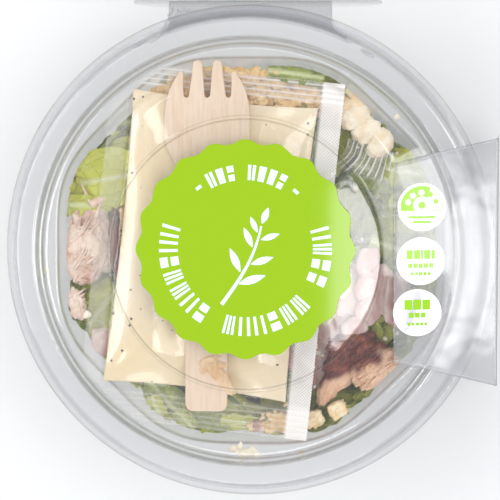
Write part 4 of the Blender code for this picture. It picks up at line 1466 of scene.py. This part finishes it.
class SALAD_OT_bacon(bpy.types.Operator):
    """Lay the loose bacon pieces at the wall"""
    bl_idname = "salad.bacon"
    bl_label = "Bacon"

    def execute(self, context):
        mat = bacon_material()
        for k, node in enumerate(("bacon_left", "bacon_right", "bacon_bottom")):
            centre, half = node_place(node)
            bm = bmesh.new()
            add_lump(bm, centre, tuple(half * 0.98), 0.0, 11.0 + k, 5, 0.16, boxy=0.35)
            finish_piece(node + "_meat", bm, mat, [node], sharp_deg=180)
        bm = bmesh.new()
        # x, y, half length, half width, turn
        slices = ((46.0, -4.0, 6.0, 4.4, 70), (51.5, -10.5, 5.6, 4.6, 95), (45.5, -13.5, 6.4, 4.8, 60),
                  (52.0, -18.5, 6.0, 4.4, 75), (46.5, -22.5, 6.6, 5.0, 50), (41.0, -29.5, 5.6, 4.2, 35))
        for k, (x, y, long, wide, turn) in enumerate(slices):
            spot = Vector((x * MM, y * MM, (47.0 + 0.5 * (k % 2)) * MM))
            hold_inside(spot, 6.5 * MM)
            add_lump(bm, spot, (long * MM, wide * MM, 1.7 * MM), turn, 23.0 + k, 4, 0.2,
                     tilt=8 * (-1) ** k)
        finish_piece("bacon_loose", bm, bacon_material("bacon_soft", 0.45), sharp_deg=180)
        return {"FINISHED"}


class SALAD_OT_croutons(bpy.types.Operator):
    """Toast the croutons and drop them round the sachet"""
    bl_idname = "salad.croutons"
    bl_label = "Croutons"

    def execute(self, context):
        golden = bread_material("bread_golden", (0.86, 0.58, 0.24), (0.66, 0.36, 0.10))
        pale = bread_material("bread_pale", (0.92, 0.76, 0.50), (0.78, 0.52, 0.24))
        nodes = ("crouton_gold", "crouton_pale_a", "crouton_pale_b", "crouton_top_a",
                 "crouton_top_b", "crouton_upper_right")
        for k, node in enumerate(nodes):
            centre, half = node_place(node)
            bm = bmesh.new()
            mat = pale if "pale" in node or "upper" in node else golden
            half *= 1.22 if "upper" in node else 1.0
            add_lump(bm, centre, tuple(half * 0.98), 12.0 * k, 17.0 + k, 5, 0.20, boxy=0.5, fibre=0.05)
            finish_piece(node + "_bread", bm, mat, [node], sharp_deg=180)
        bm = bmesh.new()
        for k, (x, y, turn) in enumerate(((46.5, 48.0, 35), (41.0, 52.5, 10), (50.5, 41.5, 60))):
            spot = Vector((x * MM, y * MM, (46.2 + 0.6 * k) * MM))
            hold_inside(spot, 7.0 * MM)
            add_lump(bm, spot, (6.2 * MM, 4.6 * MM, 2.4 * MM), turn, 29.0 + k, 4, 0.22, boxy=0.4)
        crumb = bread_material("bread_soft", (0.93, 0.83, 0.66), (0.86, 0.68, 0.44))
        finish_piece("bread_loose", bm, crumb, sharp_deg=180)
        return {"FINISHED"}


# ---------------------------------------------------------------- leaves

def add_leaf(bm, frame_matrix, length, width, curl, frill, tone, seed, cells=(10, 14),
             ribbed=True):
    """One leaf piece: a grid bent along and across, with a rib, a frilled edge and a map."""
    part = bmesh.new()
    bmesh.ops.create_grid(part, x_segments=cells[0], y_segments=cells[1], size=1.0)
    shade = part.verts.layers.float.new("tone")
    mapped = part.loops.layers.uv.new("leaf")
    flat = {}
    for v in part.verts:
        u, w = v.co.x, v.co.y
        taper = math.sqrt(max(0.0, 1.0 - 0.72 * max(0.0, w) ** 2.4)) * (0.72 + 0.28 * (1 + w) / 2)
        ragged = 1.0 + 0.16 * noise.noise(Vector((seed, w * 2.3, math.copysign(1.0, u) * 2.0)))
        x = u * width / 2 * taper * ragged
        y = w * length / 2 * (1.0 + 0.05 * noise.noise(Vector((seed, u * 2.0, 9.0))))
        edge = smooth_step(0.45, 1.0, abs(u))
        z = curl * (u * u * 0.5 + 0.6 * w * w) * width
        z += frill * edge * math.sin(w * 9.0 + seed + 1.5 * u)
        z += 0.10 * width * noise.noise(Vector((u * 1.6 + seed, w * 1.6, 2.0)))
        z -= 0.05 * width * math.exp(-(u / 0.12) ** 2)
        flat[v] = (x + (0.0 if ribbed else 0.3), y + seed * 0.013)
        v.co = frame_matrix @ Vector((x, y, z))
        v[shade] = max(0.0, min(1.0, tone + 0.2 * noise.noise(Vector((u * 1.4, w * 1.4, seed)))))
        hold_inside(v.co, 0.45 * MM)
    for face in part.faces:
        for loop in face.loops:
            loop[mapped].uv = flat[loop.vert]
    merge(bm, part)


def facing_matrix(place, normal, turn):
    return (Matrix.Translation(place) @ Vector(normal).to_track_quat("Z", "Y").to_matrix().to_4x4()
            @ Matrix.Rotation(turn, 4, "Z"))


class SALAD_OT_salad_bed(bpy.types.Operator):
    """Fill the bowl with a heap of cut leaves over a plain core"""
    bl_idname = "salad.salad_bed"
    bl_label = "Salad bed"

    def execute(self, context):
        food = context.scene.salad_food
        bm = bmesh.new()
        bm.from_mesh(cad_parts["salad_bed"].data)
        bmesh.ops.remove_doubles(bm, verts=bm.verts, dist=0.02 * MM)
        bm.normal_update()
        tree = BVHTree.FromBMesh(bm)
        faces = [(f.calc_area(), f.calc_center_median(), f.normal.copy()) for f in bm.faces
                 if f.normal.z > -0.8]
        inward = [(v, v.normal.copy()) for v in bm.verts]
        for v, normal in inward:
            v.co -= normal * 2.6 * MM
        bmesh.ops.subdivide_edges(bm, edges=bm.edges, cuts=1)
        finish_piece("salad_core", bm, core_painted_shade_material(), ["salad_bed"], sharp_deg=180)
        self.scatter(food, faces, tree)
        return {"FINISHED"}

    def scatter(self, food, faces, tree):
        rng = random.Random(food.seed)
        total = sum(area for area, _, _ in faces)
        bm = bmesh.new()
        for k in range(food.shreds):
            pick = rng.random() * total
            for area, centre, normal in faces:
                pick -= area
                if pick <= 0:
                    break
            lean = Vector((rng.uniform(-1, 1), rng.uniform(-1, 1), rng.uniform(-1, 1))) * 0.28
            place = centre - normal * rng.uniform(0.5, 2.6) * MM
            length, width = rng.uniform(15, 28) * MM, rng.uniform(13, 22) * MM
            tone = rng.choice((0.05, 0.25, 0.45, 0.7, 0.95))
            facing = facing_matrix(place, (normal + lean).normalized(), rng.uniform(0, math.tau))
            add_leaf(bm, facing, length, width, rng.uniform(-0.16, 0.04),
                     rng.uniform(0.2, 0.9) * MM, tone, k * 1.7, cells=(8, 10), ribbed=k % 4 == 0)
        for v in bm.verts:
            hit, normal, _, _ = tree.find_nearest(v.co)
            outside = (v.co - hit).dot(normal)
            if outside > 0.25 * MM:
                v.co -= normal * (outside - 0.25 * MM)
        finish_piece("salad_leaves", bm, leaf_material(), sharp_deg=180, recalc=False)


class SALAD_OT_show_leaves(bpy.types.Operator):
    """Lay the larger leaves that show round the sachet"""
    bl_idname = "salad.show_leaves"
    bl_label = "Large leaves"

    def execute(self, context):
        bm = bmesh.new()
        # centre x, y, z; normal; turn; length; width; curl; tone
        leaves = (
            (-62.5, 26.5, 49.0, (-0.05, 0.0, 1), 10, 39, 28, -0.05, 1.10),
            (-69.0, 17.5, 48.5, (-0.2, 0.0, 1), 0, 20, 10, -0.08, 0.85),
            (-60.0, -25.0, 46.0, (-0.2, -0.1, 1), 25, 27, 18, -0.10, 0.62),
            (18.0, 68.5, 49.5, (0.0, 0.1, 1), 82, 22, 9, -0.10, 0.05),
            (54.0, 30.0, 46.5, (0.1, 0.1, 1), -60, 28, 18, -0.08, 0.12),
            (62.5, 31.0, 49.0, (0.2, 0.1, 1), -35, 20, 14, -0.10, 0.50),
            (52.0, 36.0, 46.0, (0.1, 0.2, 1), 60, 20, 13, -0.10, 0.15),
            (60.5, 19.0, 47.0, (0.3, 0.0, 1), 10, 14, 9, -0.10, 0.45),
            (54.0, 2.0, 46.0, (0.2, 0.0, 1), -20, 15, 11, -0.10, 0.20),
            (-31.0, -61.0, 47.5, (-0.1, -0.2, 1), 70, 26, 16, -0.10, 0.12),
            (-24.0, -68.0, 47.5, (-0.1, -0.3, 1), 60, 14, 9, -0.10, 0.45),
            (-36.0, -63.0, 48.5, (-0.1, -0.3, 1), 40, 13, 8, -0.14, 1.25),
            (-3.0, -67.5, 47.5, (0.0, -0.3, 1), 85, 17, 8, -0.14, 1.25),
        )
        for k, (x, y, z, normal, turn, length, width, curl, tone) in enumerate(leaves):
            facing = facing_matrix((x * MM, y * MM, z * MM), normal, math.radians(turn))
            add_leaf(bm, facing, length * MM, width * MM, curl, 0.8 * MM, tone, 3.1 * k + 0.7,
                     cells=(30, 44))
        finish_piece("show_leaves", bm, leaf_material(), sharp_deg=180, recalc=False)
        return {"FINISHED"}


class SALAD_OT_crumbs(bpy.types.Operator):
    """Scatter cheese shreds and crumbs on the bowl's ledge and over the salad"""
    bl_idname = "salad.crumbs"
    bl_label = "Crumbs"

    def execute(self, context):
        rng = random.Random(8)
        bm = bmesh.new()
        ledge = 51.3
        # x, y, half length, half width, turn; on the ledge
        flakes = ((-6.0, -76.8, 1.5, 0.9, 20), (-3.4, -75.9, 1.3, 0.8, 70), (-1.0, -78.6, 2.6, 1.4, 5),
                  (1.6, -77.2, 1.4, 1.0, -30), (3.0, -79.6, 1.5, 1.0, 10), (-2.6, -80.6, 1.0, 0.6, 40),
                  (-4.2, -78.4, 0.8, 0.6, 0), (20.5, -77.9, 1.0, 0.6, 0), (-79.0, -8.0, 1.2, 0.5, -50),
                  (57.2, 52.4, 1.0, 0.9, 0), (-63.4, -25.0, 1.4, 1.1, 10))
        for k, (x, y, a, b, turn) in enumerate(flakes):
            half = (1.25 * a * MM, 1.35 * b * MM, 0.5 * MM)
            add_crumb(bm, (x * MM, y * MM, ledge * MM), half, turn, k)
        for k in range(60):
            angle, radius = rng.uniform(0, math.tau), rng.uniform(0.3, 1.0) ** 0.5 * 69
            spot = (radius * math.cos(angle) * MM, radius * math.sin(angle) * MM, 45.5 * MM)
            size = rng.uniform(0.5, 1.1) * MM
            add_crumb(bm, spot, (size, size * 0.8, size * 0.6), rng.uniform(0, 180), 30 + k)
        finish_piece("cheese_crumbs", bm, cheese_material(), sharp_deg=60)
        bm = bmesh.new()
        for k in range(230):
            x = rng.uniform(-38, 33)
            y = rng.uniform(57.0, 71.0) - 0.0038 * (x + 12) ** 2
            size = rng.uniform(1.3, 3.0) * MM
            spot = Vector((x * MM, y * MM, rng.uniform(45.6, 47.8) * MM))
            hold_inside(spot, 2.6 * MM)
            add_crumb(bm, spot, (size, size * 0.8, size * 0.7), rng.uniform(0, 180), 100 + k)
        for k in range(46):
            spot = Vector((rng.uniform(-52, -47) * MM, rng.uniform(-14, 18) * MM, 47.6 * MM))
            size = rng.uniform(0.8, 1.7) * MM
            add_crumb(bm, spot, (size, size * 0.8, size * 0.7), rng.uniform(0, 180), 300 + k)
        for k in range(60):
            spot = Vector((rng.gauss(13, 6) * MM, rng.gauss(-68, 2.6) * MM, 48.6 * MM))
            hold_inside(spot, 2.0 * MM)
            size = rng.uniform(0.6, 1.5) * MM
            add_crumb(bm, spot, (size, size * 0.8, size * 0.7), rng.uniform(0, 180), 400 + k)
        golden = bread_material("crumb_golden", (0.90, 0.66, 0.32), (0.74, 0.46, 0.17))
        finish_piece("golden_crumbs", bm, golden, sharp_deg=60)
        return {"FINISHED"}


def add_crumb(bm, centre, half, turn_deg, seed):
    """Add one small uneven crumb to a bmesh."""
    part = bmesh.new()
    bmesh.ops.create_icosphere(part, subdivisions=2, radius=1.0)
    for v in part.verts:
        v.co *= 1.0 + 0.5 * noise.noise(v.co * 1.8 + Vector((seed * 3.7, 0, 0)))
    place = (Matrix.Translation(centre) @ Matrix.Rotation(math.radians(turn_deg), 4, "Z")
             @ Matrix.Diagonal((*half, 1.0)))
    bmesh.ops.transform(part, matrix=place, verts=part.verts)
    merge(bm, part)


# ---------------------------------------------------------------- stage

def upright(back):
    """Rotation whose Z points back along a view, with its Y as near to the scene's Y as it can be."""
    back = back.normalized()
    right = Vector((0, 1, 0)).cross(back)
    right = right.normalized() if right.length > 0.3 else Vector((1, 0, 0))
    up = back.cross(right).normalized()
    return Matrix((up.cross(back), up, back)).transposed()


WORLD_TINT = (0.93, 0.95, 1.0, 1.0)
WORLD_STRENGTH = 0.78
FOOD_MIDDLE = (0, 0, 0.05)

# name, place, what it faces, size across and along, power; the window's mirror image lies on
# the right of the lid's flat centre, and the haze light's on the dome beyond it
LIGHTS = (("soft_window", (0.233, -0.144, 1.6), (0.233, -0.144, 0.05), (0.60, 0.17), 2.0),
          ("soft_haze", (0.85, 0.14, 1.40), FOOD_MIDDLE, (0.70, 0.78), 6.0),
          ("soft_streak", (-0.60, 0.42, 1.45), FOOD_MIDDLE, (0.06, 0.62), 0.30),
          ("soft_left", (-1.30, 0.15, 0.82), FOOD_MIDDLE, (0.30, 1.5), 8.8),
          ("soft_back", (-0.1, 1.30, 0.82), FOOD_MIDDLE, (1.5, 0.34), 5.0),
          ("soft_front", (-0.15, -1.30, 0.82), FOOD_MIDDLE, (1.5, 0.34), 5.2),
          ("soft_right", (1.30, 0.1, 0.78), FOOD_MIDDLE, (0.30, 1.2), 3.4))


def area_light(name, place, target, size, power):
    """Add one soft rectangular light that faces its target."""
    data = bpy.data.lights.new(name, "AREA")
    data.shape = "RECTANGLE"
    data.size, data.size_y = size
    data.energy = power
    lamp = bpy.data.objects.new(name, data)
    lamp.location = place
    lamp.rotation_euler = upright(Vector(place) - Vector(target)).to_euler()
    bpy.context.scene.collection.objects.link(lamp)


class SALAD_OT_stage(bpy.types.Operator):
    """Set the camera, the pale floor and the soft studio lights"""
    bl_idname = "salad.stage"
    bl_label = "Stage"

    def execute(self, context):
        stage = context.scene.salad_stage
        camera = bpy.data.cameras.new("camera")
        camera.lens = stage.lens
        camera.sensor_width = 36.0
        camera.clip_start = 0.05
        eye = bpy.data.objects.new("camera", camera)
        target = Vector((0.3 * MM, 0.5 * MM, FLANGE_Z))
        back = Vector((stage.lean_x, stage.lean_y, 1.0)).normalized()
        eye.location = target + back * stage.distance
        eye.rotation_euler = upright(back).to_euler()
        context.scene.collection.objects.link(eye)
        context.scene.camera = eye
        bm = bmesh.new()
        bmesh.ops.create_grid(bm, x_segments=1, y_segments=1, size=3.0)
        bmesh.ops.translate(bm, verts=bm.verts, vec=(0, 0, -0.0002))
        mesh = bpy.data.meshes.new("floor")
        bm.to_mesh(mesh)
        bm.free()
        s = Shade("floor")
        cloth = s.range(s.noise(6.0), 0.3, 0.7, 0.0, 0.02)
        base = tuple(stage.floor)
        mesh.materials.append(s.principled(s.mix(cloth, base, tuple(c * 0.97 for c in base)), 0.9,
                                           Specular_IOR_Level=0.1))
        floor = bpy.data.objects.new("floor", mesh)
        context.scene.collection.objects.link(floor)
        world = bpy.data.worlds.new("studio")
        context.scene.world = world
        world.use_nodes = True
        background = world.node_tree.nodes["Background"]
        background.inputs["Color"].default_value = WORLD_TINT
        background.inputs["Strength"].default_value = WORLD_STRENGTH
        for light in LIGHTS:
            area_light(*light)
        context.scene.view_settings.view_transform = "Standard"
        context.scene.cycles.transparent_max_bounces = 32
        return {"FINISHED"}


# ---------------------------------------------------------------- panel and registration

OPERATORS = (SALAD_OT_stage, SALAD_OT_bowl, SALAD_OT_lid, SALAD_OT_tear_strip, SALAD_OT_round_label,
             SALAD_OT_strap_label, SALAD_OT_fork, SALAD_OT_sachet, SALAD_OT_topping_bag,
             SALAD_OT_chicken, SALAD_OT_bacon, SALAD_OT_croutons, SALAD_OT_salad_bed,
             SALAD_OT_show_leaves, SALAD_OT_crumbs)


class SALAD_PT_panel(bpy.types.Panel):
    """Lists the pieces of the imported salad"""
    bl_idname = "SALAD_PT_panel"
    bl_label = "Salad bowl"
    bl_space_type = "VIEW_3D"
    bl_region_type = "UI"
    bl_category = "Salad bowl"

    def draw(self, context):
        for settings in (context.scene.salad_pack, context.scene.salad_food,
                         context.scene.salad_stage):
            box = self.layout.box()
            for name in settings.__annotations__:
                box.prop(settings, name)
        for operator in OPERATORS:
            self.layout.operator(operator.bl_idname)


CLASSES = (PackSettings, FoodSettings, StageSettings, *OPERATORS, SALAD_PT_panel)


def register():
    for cls in CLASSES:
        bpy.utils.register_class(cls)
    bpy.types.Scene.salad_pack = PointerProperty(type=PackSettings)
    bpy.types.Scene.salad_food = PointerProperty(type=FoodSettings)
    bpy.types.Scene.salad_stage = PointerProperty(type=StageSettings)


def unregister():
    del bpy.types.Scene.salad_stage
    del bpy.types.Scene.salad_food
    del bpy.types.Scene.salad_pack
    for cls in reversed(CLASSES):
        bpy.utils.unregister_class(cls)


def main():
    register()
    for operator in OPERATORS:
        group, name = operator.bl_idname.split(".")
        getattr(getattr(bpy.ops, group), name)()


if __name__ == "__main__":
    main()
